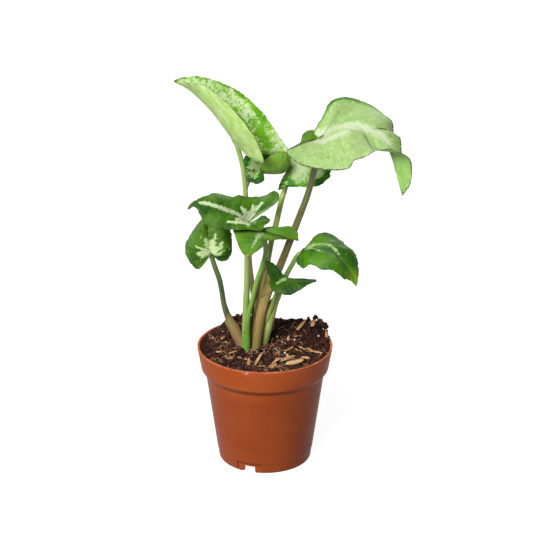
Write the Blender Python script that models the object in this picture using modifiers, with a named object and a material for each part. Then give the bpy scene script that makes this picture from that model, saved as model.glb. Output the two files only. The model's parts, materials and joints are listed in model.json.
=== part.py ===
"""Arrowhead plant in its nursery pot: a plastic pot, the potting soil and four leafy shoots with nine leaves.

Every length is in millimetres and every angle in degrees until a mesh is made, and +Z is up.
The pot's axis is the design's centre; the whole plant then hangs on one empty, which sets
the finished part over the middle of its own footprint.
"""

import math
import random

import bmesh
import bpy
import numpy as np
from mathutils import Matrix, Vector

MM = 0.001
MERGE_DISTANCE = 0.00005
GAP = 0.3
END_MARGIN = 0.1

# Where the pot's axis stands from the middle of the plant's footprint
POT_AXIS_X = -16.2
POT_AXIS_Y = 0.0

# Pot, a 3 inch nursery size
RIM_RADIUS = 40.0
POT_HEIGHT = 71.5
LIP_ROUND = 0.5
LIP_WIDTH = 1.3
COLLAR_BOTTOM_RADIUS = 37.7
COLLAR_BOTTOM_Z = 56.5
BODY_TOP_RADIUS = 34.9
BODY_TOP_Z = 53.0
FOOT_BAND_Z = 6.6
FOOT_BAND_RADIUS = 28.4
FOOT_RADIUS = 27.4
FOOT_WALL = 2.0
WALL = 1.2
FLOOR_Z = 4.0
FLOOR_THICKNESS = 1.2
POT_SEGMENTS = 40
DRAIN_HOLES = 6
DRAIN_HOLE_RADIUS = 2.6
DRAIN_HOLE_CIRCLE = 18.0
NOTCHES = 3
FIRST_NOTCH_TURN = -20.0
NOTCH_WIDTH = 7.0
NOTCH_HEIGHT = 3.9
POCKET_WIDTH = 17.0
POCKET_HEIGHT = 6.2
POCKET_DEPTH = 0.6

# Soil
SOIL_Z = 68.4
SOIL_TOP_RADIUS = RIM_RADIUS - LIP_WIDTH - GAP - 0.4
SOIL_BACK_RISE = 5.0
SOIL_EDGE_SLOPE = 1.4
SOIL_RINGS = 8
SOIL_ROUGHNESS = 0.6
CHIP_COUNT = 14
CRUMB_COUNT = 14
SOIL_SEED = 7
CLEAR_OF_SHOOTS = 9.0

# Leaf blades and stalks
BLADE_THICKNESS = 0.7
BLADE_ROWS = 18
BLADE_COLUMNS = 3
LOBE_SHARE = 0.4
STALK_SIDES_RESOLUTION = 2
STALK_STEP = 9.0
STALK_DEPTH_IN_SOIL = 14.0
HOLE_CLEARANCE = 0.35
HOLE_TOP_Z = 84.0

# Blades, in millimetres from the pot's axis and the ground. The midrib runs from the stalk's top
# to the tip. "left" and "right" are the two edges, as seen from the stalk towards the tip with the
# upper side up: each goes from the stalk out round the rear lobe and forward to the tip, and its
# fourth number is how far the blade bulges upwards between the midrib and that place.
LEAVES = {
    "tall_left": {
        "midrib": (
            (-15, 3, 194.5), (-23, 4, 206), (-32, 5, 217.5), (-42.5, 4, 228), (-51.5, 2, 234),
        ),
        "left": (
            (-7.5, -6, 193, 0), (-0.5, -12, 189.5, -2), (-4, -15, 203, -3), (-10, -15, 212.5, -4),
            (-18.5, -13, 223, -4), (-27, -10, 230, -3), (-36.5, -4, 234, -1),
        ),
        "right": (
            (-6.5, 8, 190.5, 0), (4, 13, 186.5, 0), (13.5, 15, 188, -1), (8.5, 15, 196, -2),
            (-1.5, 14, 211.5, -2), (-14, 12, 224, -2), (-25.5, 9, 231, -1), (-39.5, 6, 236, 0),
            (-47.5, 3.5, 235.5, 0),
        ),
    },
    "broad_right": {
        "midrib": (
            (31.5, 2, 199.5), (39, 3, 205), (48.5, 4, 207.5), (58.5, 3, 206), (66.5, 1, 201),
            (71, -2, 194.5), (74, -4, 187), (76, -5, 178), (79, -6, 167.5),
        ),
        "left": (
            (28, 6, 202.5, 0), (33, 12, 209, 1), (37.5, 18, 216, 1), (45, 22, 218, 2),
            (52.5, 24, 215, 2), (61, 24, 211, 2), (67.5, 20, 206.5, 3), (72.5, 16, 202.5, 4),
            (74.5, 11, 198, 3), (77.5, 8, 198, 2), (78.5, 4, 193.5, 1), (77.5, 0, 189.5, 0),
            (77.5, -3, 181, 0),
        ),
        "right": (
            (21.5, -8, 201, 0), (16, -14, 200, 0), (12, -18, 198.5, 1), (19, -22, 193, 2),
            (28, -24, 191, 3), (39.5, -25, 190, 3), (47.5, -24, 191, 3), (50.5, -22, 195, 2),
            (57, -20, 197, 0), (61.5, -19, 200.5, -5), (69.5, -17, 201.5, -6), (77, -15, 197, -2),
            (82, -12, 192.5, 0), (84, -10, 185, 0), (83, -8, 175.5, 0),
        ),
    },
    "back_right": {
        "midrib": (
            (17.5, 17, 183.5), (15.5, 14, 178.5), (13, 11, 172), (8, 7, 166.5),
        ),
        "left": (
            (22, 21, 187, 0), (22.5, 25, 192, 0), (27, 28, 194, 1), (33, 26, 190.5, 2),
            (38, 20, 181.5, 2), (38, 15, 175, 2), (36, 12, 170.5, 2), (29, 9, 167.5, 1),
            (20.5, 8, 168, 0), (13, 7, 168, 0),
        ),
        "right": (
            (14, 18, 182.5, 0), (10.5, 18, 180, 0), (13, 14, 177.5, 0), (10.5, 9, 173.5, 0),
            (8.5, 7, 170, 0),
        ),
    },
    "back_middle": {
        "midrib": (
            (-6, 14, 175.5), (-0.5, 12, 175.5), (6, 10, 175.5), (11.5, 8, 177.5), (15, 6, 184.5),
        ),
        "left": (
            (-11, 18, 177, 0), (-10.5, 23, 181, 0), (-7.5, 26, 182, 1), (-1.5, 24, 183, 1),
            (4, 19, 183, 1), (10.5, 12, 185, 1),
        ),
        "right": (
            (-10.5, 13, 174, 0), (-8, 10, 171.5, 0), (-4, 8, 171, 0), (-1, 6, 174.5, -1),
            (-1.5, 2, 182.5, -3), (2, 0, 186.5, -4), (6, 1, 188.5, -4), (11, 4, 189.5, -2),
        ),
    },
    "low_left": {
        "midrib": (
            (-11, -6, 150), (-15, -8, 155.5), (-20.5, -10, 160), (-28.5, -12, 164),
            (-36.5, -13, 165.5), (-40.5, -14, 165), (-44, -14, 162.5),
        ),
        "left": (
            (-5, -7, 152, 0), (-0.5, -8, 154.5, 0), (3, -10, 153.5, 1), (-1, -17, 151, 2),
            (-8.5, -19, 152, 2), (-19, -21, 152.5, 2), (-27.5, -22, 153.5, 2), (-34.5, -21, 156.5, 1),
            (-38, -18, 162.5, 1), (-41, -15, 164.5, 0),
        ),
        "right": (
            (-8, -5.5, 153, 0), (-3.5, -4, 157, 0), (6, -3, 161.5, 0), (8.5, -1, 166, 0),
            (5, -0.5, 168.5, 0), (-0.5, -0.5, 165.5, 0), (-7.5, -0.5, 165, 1), (-14.5, -1, 166, 1),
            (-19.5, -1, 165, 1), (-27.5, -3, 168, 1), (-35.5, -7, 167.5, 1), (-41.5, -12, 166, 0),
        ),
    },
    "front": {
        "midrib": (
            (-1.5, -11, 147.5), (-4, -17, 146), (-7, -25, 144), (-10, -33, 141),
        ),
        "left": (
            (2.5, -8, 147.5, 0), (8, -5, 147.5, 0), (15, -4, 148, 0), (19, -6, 144.5, 1),
            (19, -10, 140.5, 3), (13.5, -11, 141, 3), (6.5, -12, 144, 2), (1, -16, 144.5, 1),
            (-1.5, -24, 143, 1), (-7, -31, 141.5, 0),
        ),
        "right": (
            (-6.5, -10.5, 149, 0), (-12.5, -10.5, 150, 0), (-19, -12, 150, 0), (-17.5, -17, 148, 1),
            (-15, -26, 144.5, 1), (-12.5, -31.5, 142, 0),
        ),
    },
    "lowest_left": {
        "midrib": (
            (-31.5, 4, 127.5), (-32.5, 6, 134.5), (-33.5, 9, 142), (-34.5, 13, 149),
        ),
        "left": (
            (-34, 3, 125, 0), (-36, 1, 122, 0), (-39.5, 0, 119.5, 0), (-43, 0, 123, 1),
            (-47, 2, 130, 2), (-45, 4, 137, 2), (-39.5, 7, 144.5, 2), (-36, 10, 148.5, 1),
        ),
        "right": (
            (-28.5, 4, 125, 0), (-25, 5, 122.5, 0), (-21.5, 6, 123.5, 1), (-19.5, 6, 128.5, 2),
            (-19, 7, 135, 2), (-21, 9, 141.5, 2), (-28, 12, 147.5, 1),
        ),
    },
    "low_right": {
        "midrib": (
            (22.5, -2, 132.5), (28.5, -4, 134.5), (36, -6, 134), (42.5, -8, 130), (47.5, -10, 124.5),
            (51, -11, 119), (53, -12, 114),
        ),
        "left": (
            (24.5, 0, 133, 0), (27.5, 3, 135, 0), (29, 6, 138, 0), (34, 9, 139, 1), (40, 9, 137.5, 2),
            (47, 7, 132.5, 3), (52, 2, 129.5, 3), (54.5, -2, 123.5, 2), (54.5, -7, 118, 1),
        ),
        "right": (
            (19.5, -6.5, 130.5, 0), (18, -9, 128, 0), (22, -12, 125, 1), (26.5, -15, 128.5, 2),
            (33, -19, 127, 3), (39, -20, 127, 3), (45, -19, 121.5, 2), (49, -15, 118.5, 1),
        ),
    },
    "lowest_right": {
        "midrib": (
            (8, -12, 118), (14.5, -14, 117.5), (22, -15, 118), (29.5, -15, 118.5),
        ),
        "left": (
            (4, -12.5, 123, 0), (0.5, -12, 126.5, 0), (1, -11.5, 129, 0), (6, -10, 126, 1),
            (9.5, -8.5, 119.5, 1), (14.5, -8, 117, 1), (22, -11, 118, 1), (28, -14, 119, 0),
        ),
        "right": (
            (5, -14, 118, 0), (2.5, -16, 117.5, 0), (4, -19, 114.5, 0), (8.5, -21, 113, 1),
            (12.5, -22, 112.5, 1), (17, -21, 113, 1), (21, -19, 115, 1), (26, -16, 117, 0),
        ),
    },
}

# Each shoot is grown in one piece: its leaf stalks are fused where they sheathe each other.
# A stalk is a list of places from the soil up, each with its radius, and ends under the named blade.
# The sheath has no blade and ends in a point.
SHOOTS = {
    "shoot_left": {
        "lowest_left": (
            (-14, 6, 68.5, 2.1), (-17.5, 5, 78.5, 2.4), (-21.5, 4.5, 86, 2.4), (-25, 4, 95, 1.7),
            (-26.5, 3.5, 104.5, 1.5), (-28, 3.5, 112, 1.5), (-30, 3.5, 120, 1.4),
        ),
    },
    "shoot_green": {
        "low_left": (
            (-12, 1.5, 69.5, 2), (-11.5, 0, 81, 2.1), (-11, -1.5, 100.5, 1.9),
            (-10.5, -2.5, 114, 1.75), (-10.5, -3.5, 125.5, 1.6), (-10.5, -4.5, 138, 1.4),
        ),
        "front": (
            (-11, 1, 69.5, 1.9), (-10.5, -1, 81.5, 1.8), (-9.5, -3, 92, 1.5), (-7.5, -5, 102, 1.4),
            (-4.5, -7, 115.5, 1.4), (-1.5, -8.5, 125, 1.5), (0.5, -9.5, 135.5, 1.5),
        ),
    },
    "shoot_sheathed": {
        "broad_right": (
            (-5.5, 2.5, 68.5, 2.7), (-4, 3, 82.5, 3), (-0.5, 3, 99, 2.7), (2.5, 3, 107, 2.4),
            (6.5, 3, 118, 1.9), (10.5, 3, 129, 1.75), (17, 3, 146.5, 1.75), (23.5, 3, 164.5, 1.7),
            (28, 3, 181.5, 1.65),
        ),
        "tall_left": (
            (-6, 4.5, 68.5, 2.2), (-6, 4.5, 82, 2.2), (-6, 4.5, 95, 1.8), (-8, 4.5, 111, 1.6),
            (-9, 4, 122.5, 1.5), (-10, 4, 142.5, 1.45), (-11, 4, 161, 1.45), (-12.5, 3.5, 180, 1.4),
        ),
        "back_right": (
            (-5.5, 3.5, 68.5, 2), (-4.5, 5, 82, 2.2), (-2.5, 6, 100.5, 2), (1, 6.5, 121.5, 1.5),
            (3, 8, 135, 1.5), (5.5, 9.5, 145.5, 1.5), (8.5, 12, 158, 1.5), (10.5, 14, 163.5, 1.5),
            (13, 17, 172, 1.4),
        ),
        "back_middle": (
            (-6, 5, 68, 1.8), (-6, 6, 81.5, 1.6), (-7, 7, 100.5, 1.3), (-9, 9, 120.5, 1.2),
            (-10, 10, 140, 1.1), (-11, 12, 158, 1), (-10.5, 13, 166.5, 1),
        ),
        "sheath": (
            (-6, 2.5, 69.5, 2.6), (-5.5, 2, 83, 2.7), (-4, 1.5, 99.5, 2.5), (-1.5, 1.5, 111, 1.5),
            (0, 1.5, 119.5, 0.5),
        ),
    },
    "shoot_right": {
        "low_right": (
            (-3, 8, 68, 2), (1, 6, 81.5, 2.4), (4, 4.5, 92, 2.4), (7, 1.5, 102.5, 1.9),
            (12, -0.5, 115, 1.5), (16, -1.5, 123.5, 1.4), (19, -2, 129, 1.35),
        ),
        "lowest_right": (
            (-3, 7.5, 68.5, 1.7), (0.5, 4.5, 82, 1.6), (3.5, 1.5, 93, 1.4), (6, -3, 104, 1.15),
            (7.5, -8, 111.5, 1),
        ),
    },
}

# Colours and finishes, as seen on the real plant
FINISHES = {
    "pot_plastic": ((0.45, 0.11, 0.035), 0.45),
    "potting_soil": ((0.035, 0.018, 0.012), 0.95),
    "pale_leaf": ((0.42, 0.68, 0.22), 0.45),
    "dark_leaf": ((0.05, 0.22, 0.03), 0.4),
    "green_stalk": ((0.22, 0.42, 0.08), 0.45),
    "tan_stalk": ((0.35, 0.27, 0.10), 0.5),
}
PALE_LEAVES = ("tall_left", "broad_right", "back_right")
STALK_FINISHES = {
    "shoot_left": "green_stalk",
    "shoot_green": "green_stalk",
    "shoot_sheathed": "tan_stalk",
    "shoot_right": "green_stalk",
}


def clear_scene():
    for old in list(bpy.data.objects):
        bpy.data.objects.remove(old)


def new_collection(name):
    collection = bpy.data.collections.new(name)
    bpy.context.scene.collection.children.link(collection)
    return collection


def finish_material(name):
    """The material of one finish, made once."""
    found = bpy.data.materials.get(name)
    if found:
        return found
    colour, roughness = FINISHES[name]
    material = bpy.data.materials.new(name)
    material.use_nodes = True
    surface = material.node_tree.nodes["Principled BSDF"]
    surface.inputs["Base Color"].default_value = (*colour, 1.0)
    surface.inputs["Roughness"].default_value = roughness
    surface.inputs["Metallic"].default_value = 0.0
    return material


def add_object(name, mesh, collection, finish=None, parent=None):
    made = bpy.data.objects.new(name, mesh)
    collection.objects.link(made)
    if finish:
        mesh.materials.append(finish_material(finish))
    made.parent = parent
    return made


def mesh_from(name, bm):
    """The bmesh, whose points are in millimetres, as a mesh in metres."""
    bmesh.ops.transform(bm, matrix=Matrix.Scale(MM, 4), verts=bm.verts)
    mesh = bpy.data.meshes.new(name)
    bm.to_mesh(mesh)
    bm.free()
    return mesh


def solid_mesh(made):
    """The object's evaluated mesh, with its doubles welded."""
    bpy.context.view_layer.update()
    graph = bpy.context.evaluated_depsgraph_get()
    mesh = bpy.data.meshes.new_from_object(made.evaluated_get(graph))
    bm = bmesh.new()
    bm.from_mesh(mesh)
    bmesh.ops.remove_doubles(bm, verts=bm.verts, dist=MERGE_DISTANCE)
    bm.to_mesh(mesh)
    bm.free()
    return mesh


def apply_boolean(target, cutters, operation):
    """Joins or cuts with a whole collection at once, then removes that collection's objects."""
    modifier = target.modifiers.new(operation.title(), "BOOLEAN")
    modifier.operation = operation
    modifier.operand_type = "COLLECTION"
    modifier.collection = cutters
    modifier.solver = "EXACT"
    mesh = solid_mesh(target)
    target.modifiers.clear()
    target.data = mesh
    for used in list(cutters.objects):
        bpy.data.objects.remove(used)
    bpy.data.collections.remove(cutters)


def keep_largest_piece(made):
    """Drops the slivers that are left between holes that meet."""
    bm = bmesh.new()
    bm.from_mesh(made.data)
    waiting, pieces = set(bm.verts), []
    while waiting:
        piece, edge_of_piece = set(), [waiting.pop()]
        while edge_of_piece:
            vertex = edge_of_piece.pop()
            piece.add(vertex)
            for edge in vertex.link_edges:
                other = edge.other_vert(vertex)
                if other in waiting:
                    waiting.remove(other)
                    edge_of_piece.append(other)
        pieces.append(piece)
    pieces.sort(key=len)
    for piece in pieces[:-1]:
        bmesh.ops.delete(bm, geom=list(piece), context="VERTS")
    bm.to_mesh(made.data)
    bm.free()


def smooth_line(points, count):
    """Evenly spaced places on a smooth curve through the points, and the curve's length."""
    points = np.array(points, float)
    knots = np.vstack([2 * points[0] - points[1], points, 2 * points[-1] - points[-2]])
    share = np.linspace(0, 1, 24, endpoint=False)[:, None]
    fine = []
    for a, b, c, d in zip(knots, knots[1:], knots[2:], knots[3:]):
        fine.append(
            b
            + 0.5 * share * (c - a)
            + share**2 * (a - 2.5 * b + 2 * c - 0.5 * d)
            + share**3 * (1.5 * (b - c) + 0.5 * (d - a))
        )
    fine = np.vstack([*fine, points[-1:]])
    reach = np.concatenate([[0], np.cumsum(np.linalg.norm(np.diff(fine[:, :3], axis=0), axis=1))])
    wanted = np.linspace(0, reach[-1], count)
    return np.stack([np.interp(wanted, reach, column) for column in fine.T], axis=1), reach[-1]


def unit(vectors):
    return vectors / np.maximum(np.linalg.norm(vectors, axis=-1, keepdims=True), 1e-9)


def along_line(line, share):
    """Rows of the line at shares of its length, from 0 to 1."""
    return np.stack([np.interp(share, np.linspace(0, 1, len(line)), column) for column in line.T], axis=1)


def blade_side(leaf, name, across, rib):
    """Points of one half of a blade. across runs from 0 at the midrib to 1 at the edge, rib from 0 at the
    stalk round the lobe to 1 at the tip. The ribs of the lobe all start at the stalk's top."""
    midrib, _ = smooth_line(leaf["midrib"], 60)
    stalk_top, tip = leaf["midrib"][0], leaf["midrib"][-1]
    edge, _ = smooth_line([(*stalk_top, 0), *leaf[name], (*tip, 0)], 120)
    heading = unit(np.gradient(edge[:, :3], axis=0))
    foot = along_line(midrib, np.clip((rib - LOBE_SHARE) / (1 - LOBE_SHARE), 0, 1) ** 1.1)
    outer = along_line(edge, rib)
    reach = outer[:, :3] - foot
    upward = unit(np.cross(along_line(heading, rib), reach)) * (1 if name == "left" else -1)
    bulge = outer[:, 3] * 4 * across * (1 - across)
    return foot + across[:, None] * reach + bulge[:, None] * upward


def blade_points(leaf, across, rib):
    """Puts points of the blade in space. across runs from -1, the left edge, to 1, the right edge."""
    points = blade_side(leaf, "right", np.maximum(across, 0), rib)
    left = across < 0
    points[left] = blade_side(leaf, "left", -across[left], rib[left])
    return points


def upper_side(leaf):
    """The way the blade's upper side faces where the stalk meets it."""
    midrib = np.array(leaf["midrib"], float)
    middle = np.array([0.5])
    across = blade_side(leaf, "right", middle, middle) - blade_side(leaf, "left", middle, middle)
    return unit(np.cross(across[0], midrib[1] - midrib[0]))


def make_blade(name, leaf, collection, parent):
    bm = bmesh.new()
    bmesh.ops.create_grid(bm, x_segments=2 * BLADE_COLUMNS, y_segments=BLADE_ROWS, size=1)
    grid = np.array([vertex.co for vertex in bm.verts])
    for vertex, place in zip(bm.verts, blade_points(leaf, grid[:, 0], (grid[:, 1] + 1) / 2)):
        vertex.co = place
    bmesh.ops.remove_doubles(bm, verts=bm.verts, dist=0.05)
    bmesh.ops.dissolve_degenerate(bm, edges=bm.edges, dist=0.05)
    bmesh.ops.triangulate(bm, faces=bm.faces)
    bmesh.ops.recalc_face_normals(bm, faces=bm.faces)
    finish = "pale_leaf" if name in PALE_LEAVES else "dark_leaf"
    blade = add_object("leaf_" + name, mesh_from(name, bm), collection, finish, parent)
    thickness = blade.modifiers.new("Thickness", "SOLIDIFY")
    thickness.thickness = BLADE_THICKNESS * MM
    thickness.offset = 0.0
    return blade


def stalk_end(leaf, last_row):
    """Just under the blade, where the stalk meets it: the rim of its flat end clears the blade by the gap."""
    across, rib = np.meshgrid(np.linspace(-1, 1, 41), np.linspace(0, 1, 61))
    blade = blade_points(leaf, across.ravel(), rib.ravel())
    top, up, radius = np.array(leaf["midrib"][0], float), upper_side(leaf), last_row[3]
    lean = unit(top - np.array(last_row[:3]))
    side = unit(np.cross(lean, up + 0.01))
    turns = np.linspace(0, 2 * math.pi, 12, endpoint=False)[:, None]
    rim = radius * (np.cos(turns) * side + np.sin(turns) * np.cross(lean, side))
    for drop in np.arange(0, 6, 0.05):
        end = top - up * drop
        gaps = np.linalg.norm(blade[None] - (end + rim)[:, None], axis=2)
        if drop > 0 and gaps.min() > BLADE_THICKNESS / 2 + GAP + END_MARGIN:
            break
    return end


def stalk_tube(name, route, collection):
    """A round tube along the route, whose rows are x, y, z and radius."""
    curve = bpy.data.curves.new(name, "CURVE")
    curve.dimensions = "3D"
    curve.bevel_depth = MM
    curve.bevel_resolution = STALK_SIDES_RESOLUTION
    curve.use_fill_caps = True
    spline = curve.splines.new("POLY")
    spline.points.add(len(route) - 1)
    for point, (x, y, z, radius) in zip(spline.points, route):
        point.co = (x * MM, y * MM, z * MM, 1)
        point.radius = radius
    tube = bpy.data.objects.new(name, curve)
    collection.objects.link(tube)
    mesh = solid_mesh(tube)
    bpy.data.objects.remove(tube)
    return mesh


def stalk_routes(stalks):
    """Each stalk's rows from inside the soil to just under its blade."""
    routes = []
    for leaf_name, rows in stalks.items():
        x, y, z, radius = rows[0]
        root = (x, y, z - STALK_DEPTH_IN_SOIL, radius * 0.8)
        route = [root, *rows]
        if leaf_name in LEAVES:
            route.append((*stalk_end(LEAVES[leaf_name], rows[-1]), rows[-1][3]))
        _, length = smooth_line(route, 2)
        routes.append(smooth_line(route, max(5, round(length / STALK_STEP)))[0])
    return routes


def hole_route(route):
    """The stretch of a stalk that the soil holds, a little wider, and longer at both ends."""
    hole = route[: int(np.argmax(route[:, 2] > HOLE_TOP_Z)) + 1].copy()
    hole[0, 2] -= 2 * GAP
    hole[:, 3] += HOLE_CLEARANCE
    return hole


def make_shoot(name, stalks, collection, parent):
    routes = stalk_routes(stalks)
    shoot = add_object(name, stalk_tube(name, routes[0], collection), collection, STALK_FINISHES[name], parent)
    others = new_collection(name + "_stalks")
    for number, route in enumerate(routes[1:]):
        tube = stalk_tube(f"{name}_{number}", route, others)
        add_object(f"{name}_{number}", tube, others, parent=parent)
    if others.objects:
        apply_boolean(shoot, others, "UNION")
    else:
        bpy.data.collections.remove(others)
    shoot.data.shade_smooth()
    return shoot


def pot_profile():
    """The pot's section, from the floor's middle up the inside, over the rim and down the outside."""
    inner_foot = FOOT_BAND_RADIUS - WALL - 0.4
    return (
        (0.0, FLOOR_Z + FLOOR_THICKNESS),
        (inner_foot - 0.6, FLOOR_Z + FLOOR_THICKNESS),
        (inner_foot, FLOOR_Z + FLOOR_THICKNESS + 0.6),
        (BODY_TOP_RADIUS - WALL, BODY_TOP_Z + 0.6),
        (COLLAR_BOTTOM_RADIUS - WALL, COLLAR_BOTTOM_Z + 0.8),
        (RIM_RADIUS - LIP_WIDTH, POT_HEIGHT - LIP_ROUND),
        (RIM_RADIUS - LIP_WIDTH + 0.3, POT_HEIGHT),
        (RIM_RADIUS - LIP_ROUND, POT_HEIGHT),
        (RIM_RADIUS, POT_HEIGHT - LIP_ROUND),
        (COLLAR_BOTTOM_RADIUS, COLLAR_BOTTOM_Z),
        (COLLAR_BOTTOM_RADIUS - 1.1, COLLAR_BOTTOM_Z - 2.0),
        (BODY_TOP_RADIUS, BODY_TOP_Z),
        (FOOT_BAND_RADIUS, FOOT_BAND_Z),
        (FOOT_BAND_RADIUS - 0.3, FOOT_BAND_Z - 0.4),
        (FOOT_RADIUS, 0.8),
        (FOOT_RADIUS - 0.6, 0.0),
        (FOOT_RADIUS - FOOT_WALL, 0.0),
        (FOOT_RADIUS - FOOT_WALL + 0.2, FLOOR_Z),
        (0.0, FLOOR_Z),
    )


def turned(name, profile, segments, collection):
    """A profile in the XZ plane turned about the Z axis."""
    bm = bmesh.new()
    corners = [bm.verts.new((radius, 0, z)) for radius, z in profile]
    for a, b in zip(corners, corners[1:]):
        bm.edges.new((a, b))
    made = add_object(name, mesh_from(name, bm), collection)
    screw = made.modifiers.new("Turn", "SCREW")
    screw.steps = screw.render_steps = segments
    screw.use_merge_vertices = True
    screw.merge_threshold = MERGE_DISTANCE
    return made


def bent_block(name, inner, outer, width, bottom, top, collection):
    """A block bent round the Z axis, centred on the -Y side."""
    bm = bmesh.new()
    bmesh.ops.create_grid(bm, x_segments=8, y_segments=1, size=1)
    grown = bmesh.ops.extrude_face_region(bm, geom=bm.faces[:])
    for moved in grown["geom"]:
        if isinstance(moved, bmesh.types.BMVert):
            moved.co.z += 1
    middle = (inner + outer) / 2
    for vertex in bm.verts:
        turn = vertex.co.x * width / 2 / middle
        radius = inner + (outer - inner) * (vertex.co.y + 1) / 2
        height = bottom + (top - bottom) * vertex.co.z
        vertex.co = (radius * math.sin(turn), -radius * math.cos(turn), height)
    bmesh.ops.recalc_face_normals(bm, faces=bm.faces)
    return add_object(name, mesh_from(name, bm), collection)


def make_pot(collection, parent):
    pot = turned("pot", pot_profile(), POT_SEGMENTS, collection)
    cutters = new_collection("pot_cutters")
    for number in range(NOTCHES):
        turn = math.radians(FIRST_NOTCH_TURN + 360 / NOTCHES * number)
        notch = bent_block(
            f"notch_{number}", FOOT_RADIUS - 4, FOOT_RADIUS + 4, NOTCH_WIDTH, -2, NOTCH_HEIGHT, cutters
        )
        pocket = bent_block(
            f"pocket_{number}", FOOT_RADIUS - POCKET_DEPTH, FOOT_RADIUS + 6, POCKET_WIDTH, -2, POCKET_HEIGHT, cutters
        )
        notch.rotation_euler.z = pocket.rotation_euler.z = turn
    for number in range(DRAIN_HOLES):
        turn = 2 * math.pi * number / DRAIN_HOLES
        bm = bmesh.new()
        bmesh.ops.create_cone(
            bm, cap_ends=True, segments=12, radius1=DRAIN_HOLE_RADIUS, radius2=DRAIN_HOLE_RADIUS, depth=8
        )
        place = Vector((math.cos(turn), math.sin(turn), 0)) * DRAIN_HOLE_CIRCLE + Vector((0, 0, FLOOR_Z))
        bmesh.ops.translate(bm, vec=place, verts=bm.verts)
        add_object(f"drain_{number}", mesh_from("drain", bm), cutters)
    apply_boolean(pot, cutters, "DIFFERENCE")
    pot.parent = parent
    pot.data.materials.append(finish_material("pot_plastic"))
    pot.data.shade_smooth()
    pot.data.set_sharp_from_angle(angle=math.radians(35))
    return pot


def soil_height(x, y):
    """The soil's surface: level round the shoots, heaped along the back, with small lumps."""
    back = SOIL_BACK_RISE * min(max((y - 8) / 20, 0), 1)
    heaps = 6.0 * math.exp(-((x - 27) ** 2 + (y - 22) ** 2) / 190)
    heaps += 3.5 * math.exp(-((x + 16) ** 2 + (y - 30) ** 2) / 90)
    lumps = math.sin(0.55 * x + 1.3) * math.sin(0.48 * y + 0.4) + 0.6 * math.sin(0.9 * x - 0.7 * y)
    height = SOIL_Z + back + heaps + SOIL_ROUGHNESS * lumps
    inside = SOIL_TOP_RADIUS - math.hypot(x, y)
    return min(height, POT_HEIGHT + SOIL_EDGE_SLOPE * (inside + 1.5))


def soil_profile():
    """The soil's section up the pot's inside wall, with rings over the top."""
    inner_foot = FOOT_BAND_RADIUS - WALL - 0.4
    wall = (
        (0.0, FLOOR_Z + FLOOR_THICKNESS + GAP),
        (inner_foot - 0.6 - GAP, FLOOR_Z + FLOOR_THICKNESS + GAP),
        (inner_foot - GAP, FLOOR_Z + FLOOR_THICKNESS + 0.6 + GAP),
        (BODY_TOP_RADIUS - WALL - GAP, BODY_TOP_Z + 0.6 + GAP),
        (COLLAR_BOTTOM_RADIUS - WALL - GAP, COLLAR_BOTTOM_Z + 0.8 + GAP),
    )
    top = [(SOIL_TOP_RADIUS * (1 - ring / SOIL_RINGS), SOIL_Z) for ring in range(SOIL_RINGS + 1)]
    return [*reversed(top), *reversed(wall)]


def bark_chip(draw):
    """A flat sliver of bark with pointed ends, lying tilted in the soil."""
    bm = bmesh.new()
    length, width = draw.uniform(5, 9), draw.uniform(1.6, 2.6)
    bmesh.ops.create_cube(bm, size=1)
    bmesh.ops.scale(bm, vec=(length, width, 1.1), verts=bm.verts)
    for vertex in bm.verts:
        vertex.co.y *= 1.0 - 0.45 * (vertex.co.x > 0)
    return bm, 0.25


def soil_crumb(draw):
    """A small lump of peat."""
    bm = bmesh.new()
    bmesh.ops.create_icosphere(bm, subdivisions=1, radius=draw.uniform(1.4, 2.6))
    bmesh.ops.scale(bm, vec=(1, draw.uniform(0.7, 1.0), draw.uniform(0.6, 0.9)), verts=bm.verts)
    return bm, 0.0


def place_on_soil(draw):
    """A seeded place clear of the rim and of the shoots."""
    feet = [rows[0][:2] for stalks in SHOOTS.values() for rows in stalks.values()]
    while True:
        reach, turn = 31 * math.sqrt(draw.uniform(0, 1)), draw.uniform(0, 2 * math.pi)
        x, y = reach * math.cos(turn), reach * math.sin(turn)
        if min(math.hypot(x - foot_x, y - foot_y) for foot_x, foot_y in feet) > CLEAR_OF_SHOOTS:
            return x, y


def scatter_on_soil(collection):
    """Bark chips and crumbs, sunk partly into the surface."""
    draw = random.Random(SOIL_SEED)
    for number in range(CHIP_COUNT + CRUMB_COUNT):
        shape, lift = bark_chip(draw) if number < CHIP_COUNT else soil_crumb(draw)
        x, y = place_on_soil(draw)
        tilt = Matrix.Rotation(draw.uniform(-0.35, 0.35), 4, "Y") @ Matrix.Rotation(draw.uniform(-0.3, 0.3), 4, "X")
        place = Matrix.Translation((x, y, soil_height(x, y) + lift)) @ Matrix.Rotation(draw.uniform(0, 6.3), 4, "Z")
        bmesh.ops.transform(shape, matrix=place @ tilt, verts=shape.verts)
        add_object(f"scatter_{number}", mesh_from("scatter", shape), collection)


def make_soil(collection, parent):
    turned_soil = turned("soil_turned", soil_profile(), POT_SEGMENTS, collection)
    soil = add_object("soil", solid_mesh(turned_soil), collection, "potting_soil", parent)
    bpy.data.objects.remove(turned_soil)
    for vertex in soil.data.vertices:
        if vertex.co.z > (SOIL_Z - 0.1) * MM:
            vertex.co.z = soil_height(vertex.co.x / MM, vertex.co.y / MM) * MM
    litter = new_collection("soil_litter")
    scatter_on_soil(litter)
    for piece in litter.objects:
        piece.parent = parent
    apply_boolean(soil, litter, "UNION")
    holes = new_collection("stalk_holes")
    for name, stalks in SHOOTS.items():
        for number, route in enumerate(stalk_routes(stalks)):
            tube = stalk_tube(f"hole_{name}_{number}", hole_route(route), holes)
            add_object(f"hole_{name}_{number}", tube, holes, parent=parent)
    apply_boolean(soil, holes, "DIFFERENCE")
    keep_largest_piece(soil)
    return soil


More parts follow.
